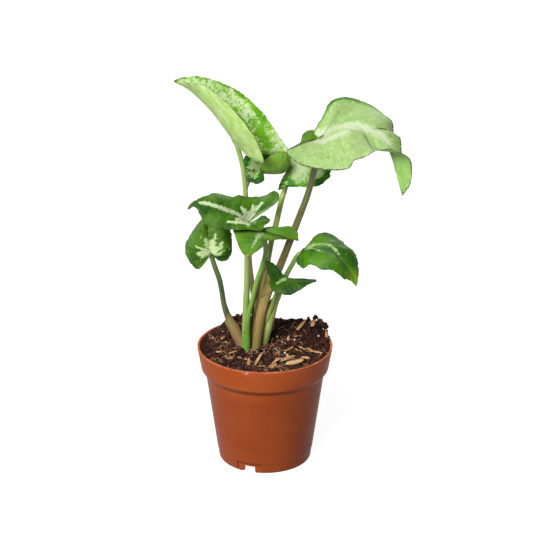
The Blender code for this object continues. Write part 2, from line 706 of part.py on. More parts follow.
def main():
    clear_scene()
    plant = new_collection("arrowhead_plant")
    stand = bpy.data.objects.new("pot_axis", None)
    plant.objects.link(stand)
    stand.location = (POT_AXIS_X * MM, POT_AXIS_Y * MM, 0)
    bpy.context.view_layer.update()
    make_pot(plant, stand)
    make_soil(plant, stand)
    for name, stalks in SHOOTS.items():
        make_shoot(name, stalks, plant, stand)
    for name, leaf in LEAVES.items():
        make_blade(name, leaf, plant, stand)


main()
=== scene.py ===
# %% [markdown]
# # A young arrowhead plant in its nursery pot
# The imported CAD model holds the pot, the soil, four shoots and nine blades as plain solids. This lesson
# dresses them: each solid is either given a better finish or replaced by a finer piece of the same form.
# Every table is in millimetres, measured from the pot's axis and the ground, because those numbers are
# easy to check against a ruler. One matrix carries them into the frame, whose unit is the metre.

import json
import math
import random

import bmesh
import bpy
import numpy as np
from mathutils import Euler, Matrix, Vector, noise

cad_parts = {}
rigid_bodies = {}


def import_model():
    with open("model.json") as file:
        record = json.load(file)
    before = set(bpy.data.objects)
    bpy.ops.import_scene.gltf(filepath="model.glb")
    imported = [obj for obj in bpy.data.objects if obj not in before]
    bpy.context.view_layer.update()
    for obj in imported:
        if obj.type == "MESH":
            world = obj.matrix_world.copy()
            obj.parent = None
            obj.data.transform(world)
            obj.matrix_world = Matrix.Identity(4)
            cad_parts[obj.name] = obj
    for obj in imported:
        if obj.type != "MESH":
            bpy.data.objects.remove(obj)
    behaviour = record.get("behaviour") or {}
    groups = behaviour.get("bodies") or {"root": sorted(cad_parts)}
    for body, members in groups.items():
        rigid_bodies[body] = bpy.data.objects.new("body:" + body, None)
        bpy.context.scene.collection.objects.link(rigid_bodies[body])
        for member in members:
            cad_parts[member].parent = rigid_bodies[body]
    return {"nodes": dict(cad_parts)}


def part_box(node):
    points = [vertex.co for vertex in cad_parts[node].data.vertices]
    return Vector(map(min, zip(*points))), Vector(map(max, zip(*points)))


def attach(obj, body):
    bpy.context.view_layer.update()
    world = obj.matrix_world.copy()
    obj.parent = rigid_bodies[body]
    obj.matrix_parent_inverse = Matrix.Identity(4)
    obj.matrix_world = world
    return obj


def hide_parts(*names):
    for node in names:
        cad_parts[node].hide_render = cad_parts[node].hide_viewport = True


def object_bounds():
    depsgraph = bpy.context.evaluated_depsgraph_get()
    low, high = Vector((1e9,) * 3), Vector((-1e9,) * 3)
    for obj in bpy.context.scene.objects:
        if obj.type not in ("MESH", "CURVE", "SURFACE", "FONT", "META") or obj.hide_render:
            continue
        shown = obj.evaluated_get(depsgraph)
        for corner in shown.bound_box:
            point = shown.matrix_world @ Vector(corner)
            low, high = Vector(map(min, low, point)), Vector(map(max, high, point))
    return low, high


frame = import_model()
cad_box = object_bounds()
MM = 0.001
POT_AXIS = Vector((-0.0162, 0.0, 0.0))
TO_FRAME = Matrix.Translation(POT_AXIS) @ Matrix.Scale(MM, 4)
print("CAD nodes:", len(frame["nodes"]), "box:", [tuple(round(v, 4) for v in corner) for corner in cad_box])

# %% [markdown]
# ## The camera
# The photograph looks down on the pot by about 22 degrees from well over a metre away, so its lines hardly
# converge. A long lens from the same distance gives the same flattened look. The angle comes from how far
# the pot's rim and foot open into ellipses, and the distance from how they differ.

# %% Camera
LOOK_DOWN = math.radians(22.3)
CAMERA_DISTANCE = 1400
AIM = Vector((0.9, 0.0, 121.3))
LENS = 162.1


def new_object(name, data):
    """An object that holds the data, linked to the scene."""
    made = bpy.data.objects.new(name, data)
    bpy.context.scene.collection.objects.link(made)
    return made


back = Vector((0, -math.cos(LOOK_DOWN), math.sin(LOOK_DOWN)))
camera_data = bpy.data.cameras.new("photo_camera")
camera_data.sensor_width = 36
camera_data.lens = LENS
camera_data.clip_start = 0.05
camera_data.clip_end = 20
camera = new_object("photo_camera", camera_data)
camera.location = TO_FRAME @ (AIM + back * CAMERA_DISTANCE)
camera.rotation_euler = Euler((math.pi / 2 - LOOK_DOWN, 0, 0))
bpy.context.scene.camera = camera
print("camera at", [round(v, 3) for v in camera.location])

# %% [markdown]
# ## Light and floor
# The plant was photographed in a white studio with one broad soft light, high and a little to the left of
# the camera. The pot is a good meter for it: its brightest strip faces 25 degrees left of the camera, and
# its right side is less than half as bright. The world is dim at the horizon and brighter overhead, so the
# fill comes mostly from below, off a pale sheet on a light table. Lit from beneath, such a sheet stays
# white and keeps shadows faint, which is how catalogue pictures get their white ground. A weak lamp behind
# the plant keeps its back readable.

# %% Light and floor
LAMP_SIZE = 1.8
LAMP_AIM = (0, 0, 110)
FLOOR_HALF = 3
HORIZON_STRENGTH, ZENITH_STRENGTH = 0.06, 0.45
SHEET_GLOW = 0.86
scene = bpy.context.scene
scene.view_settings.view_transform = "Standard"
scene.view_settings.look = "None"
world = bpy.data.worlds.new("studio")
world.use_nodes = True
sky = world.node_tree.nodes["Background"]
sky_direction = world.node_tree.nodes.new("ShaderNodeTexCoord").outputs["Generated"]
sky_axes = world.node_tree.nodes.new("ShaderNodeSeparateXYZ")
sky_strength = world.node_tree.nodes.new("ShaderNodeMapRange")
sky_strength.inputs["To Min"].default_value = HORIZON_STRENGTH
sky_strength.inputs["To Max"].default_value = ZENITH_STRENGTH
world.node_tree.links.new(sky_direction, sky_axes.inputs[0])
world.node_tree.links.new(sky_axes.outputs["Z"], sky_strength.inputs["Value"])
world.node_tree.links.new(sky_strength.outputs["Result"], sky.inputs["Strength"])
sky.inputs["Color"].default_value = (1.0, 1.0, 1.0, 1.0)
scene.world = world


def add_softbox(name, place, power):
    """A square lamp at a place round the plant, turned to look at it."""
    lamp = bpy.data.lights.new(name, "AREA")
    lamp.shape = "SQUARE"
    lamp.size = LAMP_SIZE
    lamp.energy = power
    made = new_object(name, lamp)
    made.location = TO_FRAME @ Vector(place)
    made.rotation_euler = (TO_FRAME @ Vector(LAMP_AIM) - made.location).to_track_quat("-Z", "Y").to_euler()


def mesh_from(name, bm):
    """The bmesh as a mesh, and the bmesh freed."""
    mesh = bpy.data.meshes.new(name)
    bm.to_mesh(mesh)
    bm.free()
    return mesh


add_softbox("key_light", (-1250, -2350, 2350), 400)
add_softbox("back_light", (1100, 2100, 1900), 70)

bm = bmesh.new()
bmesh.ops.create_grid(bm, x_segments=1, y_segments=1, size=FLOOR_HALF)
floor = new_object("studio_floor", mesh_from("studio_floor", bm))
paper = bpy.data.materials.new("studio_paper")
paper.use_nodes = True
SHEET = {
    "Base Color": (0.14, 0.14, 0.14, 1),
    "Roughness": 0.9,
    "Specular IOR Level": 0.1,
    "Emission Color": (1, 1, 1, 1),
    "Emission Strength": SHEET_GLOW,
}
for socket, value in SHEET.items():
    paper.node_tree.nodes["Principled BSDF"].inputs[socket].default_value = value
floor.data.materials.append(paper)

# %% [markdown]
# ## Small helpers
# Colours are written as the lit plant shows them on a screen, from 0 to 255. The surface's own colour is
# darker than that, because the lamps are bright, and more saturated, because the gloss adds a little white
# everywhere: both are taken off again. A mesh is made in millimetres and moved into the frame when it is
# finished, so its object can stay at the origin, unturned and unscaled.

# %% Helpers for colours and meshes
LIGHT_LEVEL = 2.6
GLOSS_VEIL = 0.012


def screen_colour(red, green, blue):
    """A colour as the lit plant shows it on a screen, as the linear colour of the surface itself."""
    shares = [value / 255 for value in (red, green, blue)]
    linear = [share / 12.92 if share <= 0.04045 else ((share + 0.055) / 1.055) ** 2.4 for share in shares]
    return (*[max(value - GLOSS_VEIL, 0.15 * value) / LIGHT_LEVEL for value in linear], 1.0)


def add_piece(name, bm, materials, replaces=()):
    """The finished bmesh, in millimetres about the pot's axis, as an object that rides on the plant."""
    bmesh.ops.transform(bm, matrix=TO_FRAME, verts=bm.verts)
    return add_mesh_piece(name, mesh_from(name, bm), materials, replaces)


def add_mesh_piece(name, mesh, materials, replaces=()):
    """The same for a mesh that is in the frame already."""
    mesh.shade_smooth()
    mesh.materials.clear()
    for material in materials:
        mesh.materials.append(material)
    made = new_object(name, mesh)
    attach(made, "root")
    if replaces:
        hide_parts(*replaces)
    print(f"{name}: {len(mesh.polygons)} faces")
    return made


# %% [markdown]
# ## Writing shaders
# A material is a small circuit. Two helpers keep the wiring short: one adds a node, sets its options and
# plugs values or other nodes' outputs into it, and one starts a material with its surface shader. Effects
# that several finishes share are node groups, built once and given other values in each material.


# %% Helpers for shaders
def plug_in(tree, made, inputs):
    """inputs maps a socket's name or number to a value or to another node's output."""
    for socket, value in inputs.items():
        if isinstance(value, bpy.types.NodeSocket):
            tree.links.new(value, made.inputs[socket])
        else:
            made.inputs[socket].default_value = value


def add_node(tree, kind, inputs=None, **options):
    """A shader node with its options set and its inputs plugged in."""
    made = tree.nodes.new("ShaderNode" + kind)
    for option, value in options.items():
        setattr(made, option, value)
    plug_in(tree, made, inputs or {})
    return made


def math_node(tree, operation, first, second=0.0, clamp=False):
    return add_node(tree, "Math", {0: first, 1: second}, operation=operation, use_clamp=clamp).outputs[0]


def multiply(tree, first, second):
    return math_node(tree, "MULTIPLY", first, second)


def mix_colours(tree, share, first, second):
    return add_node(tree, "Mix", {0: share, 6: first, 7: second}, data_type="RGBA").outputs[2]


def tinted(tree, share, colour, shown):
    """The colour, turned towards a screen colour by the share."""
    return mix_colours(tree, share, colour, screen_colour(*shown))


def remap(tree, value, low, high, to_low=0.0, to_high=1.0):
    inputs = {"Value": value, "From Min": low, "From Max": high, "To Min": to_low, "To Max": to_high}
    return add_node(tree, "MapRange", inputs, interpolation_type="SMOOTHSTEP").outputs["Result"]


def read_number(tree, name):
    """A number that the mesh holds at each vertex."""
    return add_node(tree, "Attribute", attribute_name=name).outputs["Fac"]


def read_vector(tree, name):
    return add_node(tree, "Attribute", attribute_name=name).outputs["Vector"]


def object_place(tree):
    return add_node(tree, "TexCoord").outputs["Object"]


def noise_at(tree, place, scale, detail=3.0, roughness=0.55, distortion=0.0):
    inputs = {"Vector": place, "Scale": scale, "Detail": detail, "Roughness": roughness}
    return add_node(tree, "TexNoise", {**inputs, "Distortion": distortion}).outputs[0]


def stretched(tree, place, scale):
    return add_node(tree, "Mapping", {"Vector": place, "Scale": scale}).outputs["Vector"]


def bump_from(tree, height, distance, strength=1.0, normal=None):
    inputs = {"Height": height, "Distance": distance, "Strength": strength}
    if normal:
        inputs["Normal"] = normal
    return add_node(tree, "Bump", inputs).outputs["Normal"]


def new_surface(name, roughness=0.5, specular=0.5):
    """A new material and its Principled shader."""
    material = bpy.data.materials.new(name)
    material.use_nodes = True
    shader = material.node_tree.nodes["Principled BSDF"]
    shader.inputs["Roughness"].default_value = roughness
    shader.inputs["Specular IOR Level"].default_value = specular
    return material, material.node_tree, shader


def new_group(name, inputs, outputs):
    """An empty node group. inputs maps a name to a socket type and a default, outputs a name to a type."""
    group = bpy.data.node_groups.new(name, "ShaderNodeTree")
    for socket, (kind, default) in inputs.items():
        made = group.interface.new_socket(name=socket, in_out="INPUT", socket_type="NodeSocket" + kind)
        if default is not None:
            made.default_value = default
    for socket, kind in outputs.items():
        group.interface.new_socket(name=socket, in_out="OUTPUT", socket_type="NodeSocket" + kind)
    return group, group.nodes.new("NodeGroupInput").outputs, group.nodes.new("NodeGroupOutput").inputs


def use_group(tree, group, inputs):
    return add_node(tree, "Group", inputs, node_tree=group).outputs


# %% [markdown]
# ## Four shared effects
# * **Cloudy colour** drifts between two colours in soft patches, as moulded plastic, peat and leaf do.
# * **Lengthwise fibre** draws fine lines along a stalk, a sheath or a chip of bark. It reads a direction
#   that the mesh carries, so the lines bend with the piece.
# * **Dry margin** is the thin brown line on a leaf's edge, broken here and there.
# * **Leaf marbling** is the white pattern. The mesh says how near each place is to the pale heart of the
#   leaf, and noise that runs along the veins frays that into the jagged rays of the real leaf.

# %% Shared effects
cloudy_colour, given, result = new_group(
    "cloudy_colour",
    {
        "Place": ("Vector", None),
        "Scale": ("Float", 100.0),
        "First": ("Color", (0.5, 0.5, 0.5, 1)),
        "Second": ("Color", (0.6, 0.6, 0.6, 1)),
    },
    {"Colour": "Color"},
)
tree = cloudy_colour
clouds = remap(tree, noise_at(tree, given["Place"], given["Scale"], 4.0, 0.6), 0.35, 0.65)
tree.links.new(mix_colours(tree, clouds, given["First"], given["Second"]), result["Colour"])


def cloudy(tree, place, scale, first, second):
    """The cloudy colour between two screen colours."""
    ends = {"First": screen_colour(*first), "Second": screen_colour(*second)}
    return use_group(tree, cloudy_colour, {"Place": place, "Scale": scale, **ends})["Colour"]


lengthwise_fibre, given, result = new_group(
    "lengthwise_fibre",
    {"Fibre": ("Vector", None), "Fineness": ("Float", 1.0)},
    {"Mask": "Float", "Height": "Float"},
)
tree = lengthwise_fibre
lines = noise_at(tree, stretched(tree, given["Fibre"], (1.0, 1.0, 0.06)), given["Fineness"], 3.0, 0.6)
tree.links.new(remap(tree, lines, 0.38, 0.62), result["Mask"])
tree.links.new(lines, result["Height"])

dry_margin, given, result = new_group(
    "dry_margin",
    {"Rim": ("Float", 5.0), "Place": ("Vector", None), "Width": ("Float", 0.4)},
    {"Mask": "Float"},
)
tree = dry_margin
breaks = remap(tree, noise_at(tree, given["Place"], 900.0, 2.0), 0.3, 0.7, 0.25, 1.5)
inner_limit = multiply(tree, given["Width"], breaks)
inwards = remap(tree, given["Rim"], 0.0, inner_limit)
tree.links.new(math_node(tree, "SUBTRACT", 1.0, inwards, clamp=True), result["Mask"])

leaf_marbling, given, result = new_group(
    "leaf_marbling",
    {
        "Pale Field": ("Float", 0.5),
        "Veinwise": ("Vector", None),
        "Place": ("Vector", None),
        "Fray": ("Float", 0.5),
        "Blotch": ("Float", 0.5),
        "Speckle": ("Float", 0.3),
        "Deep": ("Color", (0.05, 0.2, 0.02, 1)),
        "Bright": ("Color", (0.1, 0.3, 0.04, 1)),
        "Middle": ("Color", (0.3, 0.5, 0.15, 1)),
        "Pale": ("Color", (0.6, 0.7, 0.4, 1)),
    },
    {"Colour": "Color"},
)
tree = leaf_marbling
rays = noise_at(tree, stretched(tree, given["Veinwise"], (0.17, 0.62, 1.0)), 1.0, 4.0, 0.62, 0.5)
blotches = noise_at(tree, given["Place"], 330.0, 3.0, 0.6, 0.8)
specks = noise_at(tree, given["Place"], 1150.0, 2.0, 0.7)
field = given["Pale Field"]
for pattern, amount in ((rays, "Fray"), (blotches, "Blotch"), (specks, "Speckle")):
    centred = math_node(tree, "SUBTRACT", pattern, 0.5)
    field = math_node(tree, "ADD", field, multiply(tree, centred, given[amount]))
pale_mask = remap(tree, field, 0.46, 0.62)
middle_mask = remap(tree, field, 0.30, 0.48)
patches = remap(tree, noise_at(tree, given["Place"], 90.0, 3.0), 0.38, 0.62)
green = mix_colours(tree, patches, given["Deep"], given["Bright"])
with_middle = mix_colours(tree, middle_mask, green, given["Middle"])
tree.links.new(mix_colours(tree, pale_mask, with_middle, given["Pale"]), result["Colour"])
print("node groups:", [group.name for group in bpy.data.node_groups])

# %% [markdown]
# ## The pot
# A thin-walled nursery pot, moulded in terracotta-coloured plastic: a deep collar with a ledge under it, a
# plain taper, and a foot ring with notches that let the water out. It is a turned shape, so a section is
# spun round the axis, the ring edges are rounded with a bevel, and the notches and drain holes are cut out
# afterwards, which is also how the CAD solid is made. The visual pot has finer steps, and its ledge lies
# 1.3 mm higher than the solid's, where the photograph shows it.

# %% Pot values
RIM_RADIUS = 40.0
POT_HEIGHT = 71.5
LIP_WIDTH = 1.3
WALL = 1.2
COLLAR_BOTTOM_RADIUS = 37.7
COLLAR_BOTTOM_Z = 57.8
BODY_TOP_RADIUS = 34.9
BODY_TOP_Z = 54.3
FOOT_BAND_Z = 6.6
FOOT_BAND_RADIUS = 28.4
FOOT_RADIUS = 27.4
FOOT_WALL = 2.0
FLOOR_Z = 4.0
FLOOR_THICKNESS = 1.2
INNER_FOOT = FOOT_BAND_RADIUS - WALL - 0.4
POT_STEPS = 144
RING_ROUNDING = 0.35
SHARP_RING = math.radians(14)
NOTCHES, FIRST_NOTCH = 3, -20
# A notch is cut by two bent blocks: inner and outer radius, width, top and flare
NOTCH_BLOCKS = (
    (FOOT_RADIUS - 4, FOOT_RADIUS + 4, 7.0, 3.9, 1.2),
    (FOOT_RADIUS - 0.6, FOOT_RADIUS + 6, 17.0, 6.2, 0.01),
)
DRAIN_HOLES, DRAIN_RADIUS, DRAIN_RING = 6, 2.6, 18
POT_PROFILE = (
    (0.0, FLOOR_Z + FLOOR_THICKNESS),
    (INNER_FOOT, FLOOR_Z + FLOOR_THICKNESS),
    (BODY_TOP_RADIUS - WALL, BODY_TOP_Z + 0.6),
    (COLLAR_BOTTOM_RADIUS - WALL, COLLAR_BOTTOM_Z + 0.8),
    (RIM_RADIUS - LIP_WIDTH, POT_HEIGHT),
    (RIM_RADIUS, POT_HEIGHT),
    (RIM_RADIUS - 0.15, POT_HEIGHT - 1.8),
    (COLLAR_BOTTOM_RADIUS, COLLAR_BOTTOM_Z),
    (COLLAR_BOTTOM_RADIUS - 0.75, COLLAR_BOTTOM_Z - 1.1),
    (COLLAR_BOTTOM_RADIUS - 1.6, COLLAR_BOTTOM_Z - 2.1),
    (BODY_TOP_RADIUS + 0.35, BODY_TOP_Z + 0.2),
    (BODY_TOP_RADIUS - 0.1, BODY_TOP_Z - 2.0),
    (FOOT_BAND_RADIUS, FOOT_BAND_Z),
    (FOOT_BAND_RADIUS - 0.3, FOOT_BAND_Z - 0.4),
    (FOOT_RADIUS, 0.8),
    (FOOT_RADIUS - 0.6, 0.0),
    (FOOT_RADIUS - FOOT_WALL, 0.0),
    (FOOT_RADIUS - FOOT_WALL + 0.2, FLOOR_Z),
    (0.0, FLOOR_Z),
)

# %% [markdown]
# Spin turns the section round the axis and merges the seam. Bevel rounds only the level rings where the
# section turns a real corner, so the smooth flanks keep their few faces. A notch is cut by flat grids that
# are thickened and bent round the axis, because a straight block would leave its ends on the slant.


# %% Pot helpers
def spun(profile, steps):
    """A section in the XZ plane spun round Z, with closed poles and its faces outwards."""
    bm = bmesh.new()
    corners = [bm.verts.new((radius, 0, z)) for radius, z in profile]
    for a, b in zip(corners, corners[1:]):
        bm.edges.new((a, b))
    section, turn = bm.verts[:] + bm.edges[:], {"cent": (0, 0, 0), "axis": (0, 0, 1), "angle": 2 * math.pi}
    bmesh.ops.spin(bm, geom=section, steps=steps, use_merge=True, **turn)
    bmesh.ops.remove_doubles(bm, verts=bm.verts, dist=0.001)
    bmesh.ops.recalc_face_normals(bm, faces=bm.faces)
    return bm


def round_rings(bm, radius):
    """Rounds the level rings where the section turns a corner."""
    rings = [
        edge
        for edge in bm.edges
        if len(edge.link_faces) == 2
        and abs(edge.verts[0].co.z - edge.verts[1].co.z) < 1e-4
        and abs(edge.verts[0].co.xy.length - edge.verts[1].co.xy.length) < 1e-3
        and edge.calc_face_angle(0) > SHARP_RING
    ]
    how = {"offset_type": "OFFSET", "affect": "EDGES", "clamp_overlap": True}
    bmesh.ops.bevel(bm, geom=rings, offset=radius, segments=3, profile=0.5, material=-1, **how)


def bent_cutter(inner, outer, width, top, flare):
    """A block bent round the axis on the -Y side. flare rounds the corners that it leaves at the ground."""
    bm = bmesh.new()
    bmesh.ops.create_grid(bm, x_segments=10, y_segments=14, size=1)
    grown = bmesh.ops.extrude_face_region(bm, geom=bm.faces[:])
    for moved in grown["geom"]:
        if isinstance(moved, bmesh.types.BMVert):
            moved.co.z += 1
    for vertex in bm.verts:
        height = -1 + (top + 1) * (vertex.co.y + 1) / 2
        low = min(max(flare - height, 0), flare)
        half = width / 2 + flare - math.sqrt(max(flare**2 - low**2, 0))
        turn = vertex.co.x * half / ((inner + outer) / 2)
        radius = inner + (outer - inner) * vertex.co.z
        vertex.co = (radius * math.sin(turn), -radius * math.cos(turn), height)
    bmesh.ops.recalc_face_normals(bm, faces=bm.faces)
    return bm


def final_mesh(made):
    """The object's mesh with its modifiers applied, and the object removed."""
    bpy.context.view_layer.update()
    mesh = bpy.data.meshes.new_from_object(made.evaluated_get(bpy.context.evaluated_depsgraph_get()))
    bpy.data.objects.remove(made)
    return mesh

# %% [markdown]
# All cutters go into one collection, and a single Boolean modifier takes them away at once. It uses the
# exact solver, because some faces of the cutters meet the foot ring at shallow angles.

# %% Pot shape
pot_bm = spun(POT_PROFILE, POT_STEPS)
round_rings(pot_bm, RING_ROUNDING)
uncut_pot = new_object("uncut_pot", mesh_from("uncut_pot", pot_bm))
cutters = bpy.data.collections.new("pot_cutters")
scene.collection.children.link(cutters)
for number in range(NOTCHES):
    turn = math.radians(FIRST_NOTCH + 360 / NOTCHES * number)
    for block in NOTCH_BLOCKS:
        cutter_bm = bent_cutter(*block)
        bmesh.ops.rotate(cutter_bm, matrix=Matrix.Rotation(turn, 3, "Z"), verts=cutter_bm.verts)
        cutters.objects.link(new_object(f"notch_{number}", mesh_from(f"notch_{number}", cutter_bm)))
for number in range(DRAIN_HOLES):
    turn = 2 * math.pi * number / DRAIN_HOLES
    cutter_bm = bmesh.new()
    size = {"radius1": DRAIN_RADIUS, "radius2": DRAIN_RADIUS, "depth": 8}
    bmesh.ops.create_cone(cutter_bm, cap_ends=True, segments=32, **size)
    centre = (DRAIN_RING * math.cos(turn), DRAIN_RING * math.sin(turn), FLOOR_Z)
    bmesh.ops.translate(cutter_bm, vec=centre, verts=cutter_bm.verts)
    cutters.objects.link(new_object(f"drain_{number}", mesh_from(f"drain_{number}", cutter_bm)))
cut = uncut_pot.modifiers.new("Cut", "BOOLEAN")
cut.operation = "DIFFERENCE"
cut.operand_type = "COLLECTION"
cut.collection = cutters
cut.solver = "EXACT"
pot_mesh = final_mesh(uncut_pot)
for used in list(cutters.objects):
    bpy.data.objects.remove(used)
bpy.data.collections.remove(cutters)
print("pot mesh:", len(pot_mesh.polygons), "faces")

# %% [markdown]
# The rim of a thrown-together nursery pot is never crisp: the mould leaves it a little wavy, and it gets
# knocked. The top few tenths of a millimetre are pushed about by noise, and one nick is pressed into the
# front. The finish is satin plastic: a fine moulded grain, faint clouds in the pigment, a paler lip that is
# partly scuffs where pots rub in the tray and partly a painted highlight, and a little soil dust on the
# inside of the collar. Painted shade darkens a band under the collar's ledge and the lower body.

# %% Pot rim and finish
NICK = Vector((-11.5, -38.6, 71.4))
NICK_DEPTH, NICK_WIDTH = 0.35, 1.6
RIM_WEAR = 0.12
for vertex in pot_mesh.vertices:
    place = vertex.co.copy()
    if place.z > POT_HEIGHT - 1.2 and place.xy.length > RIM_RADIUS - 2:
        wave = noise.noise(place * 0.16) * 0.10 + noise.noise(place * 0.9) * 0.05
        nick = NICK_DEPTH * math.exp(-((place - NICK).length / NICK_WIDTH) ** 2)
        vertex.co.z -= RIM_WEAR + wave + nick

pot_finish, tree, shader = new_surface("pot_terracotta_plastic", 0.45, 0.05)
place = object_place(tree)
pot_colour = cloudy(tree, place, 38.0, (179, 89, 50), (172, 82, 44))
grain = noise_at(tree, place, 2600.0, 2.0, 0.6)
grained = tinted(tree, remap(tree, grain, 0.3, 0.7, 0.0, 0.10), pot_colour, (120, 52, 26))
height = add_node(tree, "SeparateXYZ", {0: place}).outputs["Z"]
# Painted shade: a dark band just under the collar's ledge, and the body a shade darker below the collar,
# towards the bottom.
painted_shade_under_collar = multiply(
    tree,
    remap(tree, height, (COLLAR_BOTTOM_Z - 4.4) * MM, (COLLAR_BOTTOM_Z - 2.6) * MM),
    remap(tree, height, (COLLAR_BOTTOM_Z + 0.2) * MM, (COLLAR_BOTTOM_Z - 0.9) * MM, 0.0, 0.5),
)
painted_body_shade = math_node(tree, "MAXIMUM", remap(tree, height, 0.060, 0.045, 0.0, 0.26), painted_shade_under_collar)
grained = tinted(tree, painted_body_shade, grained, (92, 38, 18))
axis_gap = {0: stretched(tree, place, (1, 1, 0)), 1: (*POT_AXIS.xy, 0)}
radius = add_node(tree, "VectorMath", axis_gap, operation="DISTANCE").outputs["Value"]
scuff_noise = noise_at(tree, stretched(tree, place, (1, 1, 3)), 260.0, 4.0, 0.7)
# The paler lip is partly real scuffs and partly a painted highlight along the edge.
lip = remap(tree, height, (POT_HEIGHT - 0.9) * MM, (POT_HEIGHT - 0.1) * MM)
lip_wear_and_highlight = multiply(tree, lip, remap(tree, scuff_noise, 0.35, 0.7))
worn_and_highlit = tinted(tree, multiply(tree, lip_wear_and_highlight, 0.8), grained, (222, 146, 106))
nick_ends = {0: place, 1: TO_FRAME @ NICK}
nick_gap = add_node(tree, "VectorMath", nick_ends, operation="DISTANCE").outputs["Value"]
near_nick = remap(tree, nick_gap, 0.0030, 0.0008)
scratches = multiply(tree, near_nick, remap(tree, scuff_noise, 0.42, 0.58, 0.0, 0.8))
nicked = tinted(tree, scratches, worn_and_highlit, (236, 196, 172))
inside = math_node(tree, "LESS_THAN", radius, (RIM_RADIUS - LIP_WIDTH + 0.05) * MM)
above_soil = math_node(tree, "GREATER_THAN", height, 0.0660)
soil_line = multiply(tree, remap(tree, height, 0.0713, 0.0690), above_soil)
dust_noise = remap(tree, noise_at(tree, place, 700.0, 4.0, 0.7), 0.42, 0.58)
dust = multiply(tree, multiply(tree, inside, soil_line), dust_noise)
dusty = tinted(tree, multiply(tree, dust, 0.8), nicked, (62, 38, 26))
roughness = remap(tree, scuff_noise, 0.3, 0.7, 0.38, 0.5)
soft_waves = noise_at(tree, place, 55.0, 2.0)
normal = bump_from(tree, soft_waves, 0.0006, 0.5, bump_from(tree, grain, 0.00006, 0.6))
plug_in(tree, shader, {"Base Color": dusty, "Roughness": roughness, "Normal": normal})

pot_mesh.transform(TO_FRAME)
pot_piece = add_mesh_piece("nursery_pot", pot_mesh, [pot_finish], ["pot"])
pot_piece.data.set_sharp_from_angle(angle=math.radians(40))

# %% [markdown]
# ## The soil bed
# Potting soil is peat: dark crumbs of every size, loosely heaped, higher at the back of this pot. The large
# form is the CAD solid's height formula with slightly fuller heaps, and finer noise is added to it in
# octaves, each half the size of the last. The bed is a spun section too, because its edge must follow the
# pot's wall.

# %% Soil height
SOIL_Z = 68.4
SOIL_TOP_RADIUS = RIM_RADIUS - LIP_WIDTH - 0.12
BACK_RISE = 3.5
# x, y, height and spread of each heap
HEAPS = ((29, 21, 5.2, 170), (-15, 31, 4.2, 70), (34, 12, 6.0, 60))


def soil_height(x, y):
    """The soil's surface: level round the shoots, heaped along the back, with small lumps."""
    back_rise = BACK_RISE * min(max((y - 8) / 20, 0), 1)
    heaps = sum(top * math.exp(-((x - hx) ** 2 + (y - hy) ** 2) / spread) for hx, hy, top, spread in HEAPS)
    lumps = math.sin(0.55 * x + 1.3) * math.sin(0.48 * y + 0.4) + 0.6 * math.sin(0.9 * x - 0.7 * y)
    height = SOIL_Z + back_rise + heaps + 0.6 * lumps
    inside = SOIL_TOP_RADIUS - math.hypot(x, y)
    return min(height, POT_HEIGHT + 1.9 * (inside + 1.0))


LUMPINESS, PITTING, BED_SINK = 1.7, 1.8, 0.8


def crumbly(x, y):
    """The lumps of peat on top of the large form."""
    coarse = noise.fractal(Vector((x, y, 3.0)) * 0.28, 1.0, 2.0, 3)
    pits = abs(noise.noise(Vector((x, y, 9.0)) * 0.75))
    return LUMPINESS * coarse + PITTING * pits - BED_SINK

# %% [markdown]
# The bed's section runs from the axis out to the wall and down inside the pot. Only its top is moved: the
# lumps fade towards the wall, so the edge stays close to the plastic.

# %% Soil bed shape
BED_RINGS = 84
BED_STEPS = 300
WALL_GAP = 0.15
BED_BOTTOM_Z = FLOOR_Z + FLOOR_THICKNESS + 0.2
wall_profile = [
    (COLLAR_BOTTOM_RADIUS - WALL - WALL_GAP, COLLAR_BOTTOM_Z + 0.9),
    (BODY_TOP_RADIUS - WALL - WALL_GAP, BODY_TOP_Z + 0.7),
    (INNER_FOOT - WALL_GAP, BED_BOTTOM_Z),
    (0.0, BED_BOTTOM_Z),
]
top_profile = [(SOIL_TOP_RADIUS * ring / BED_RINGS, SOIL_Z) for ring in range(BED_RINGS + 1)]
soil_bm = spun(top_profile + wall_profile, BED_STEPS)
for vertex in soil_bm.verts:
    if vertex.co.z > SOIL_Z - 0.1:
        x, y = vertex.co.x, vertex.co.y
        fade = min(max((SOIL_TOP_RADIUS - math.hypot(x, y)) / 2.0, 0.25), 1)
        vertex.co.z = soil_height(x, y) + crumbly(x, y) * fade

# %% [markdown]
# Peat is nearly black when moist and warm brown where it dries, so the colour drifts between the two, and
# fine patches of painted shade darken it as in the pits between crumbs. It has hardly any gloss. The same
# finish serves the bed and the loose crumbs, which is what hides the join between them.


# %% Soil finish
def peat_finish(name, dark, warm):
    material, tree, shader = new_surface(name, 0.95, 0.18)
    place = object_place(tree)
    clouds = cloudy(tree, place, 330.0, dark, warm)
    fine = noise_at(tree, place, 1900.0, 4.0, 0.7)
    dry_specks = remap(tree, fine, 0.56, 0.70)
    toned = tinted(tree, multiply(tree, read_number(tree, "tone"), 0.75), clouds, (130, 78, 55))
    flecked = tinted(tree, multiply(tree, dry_specks, 0.6), toned, (166, 110, 76))
    # Painted shade: fine noise patches turned towards near black, standing for the shade in the pits
    # between crumbs.
    high = remap(tree, noise_at(tree, place, 900.0, 3.0), 0.30, 0.5)
    shaded = tinted(tree, math_node(tree, "SUBTRACT", 1.0, high, clamp=True), flecked, (26, 14, 9))
    plug_in(tree, shader, {"Base Color": shaded, "Normal": bump_from(tree, fine, 0.0012, 1.0)})
    return material


peat = peat_finish("peat", (34, 18, 13), (76, 42, 30))
add_piece("soil_bed", soil_bm, [peat], ["soil"])

# %% [markdown]
# ## Crumbs, bark, fibres and roots
# What makes soil look like soil is litter on top of it. Each kind is scattered by a seeded rule: crumbs are
# dented little spheres, bark chips are split slivers with a broken end, fibres and roots are thin tubes.
# A batch of small pieces is built at a time and then joined, which is much quicker than growing one mesh.


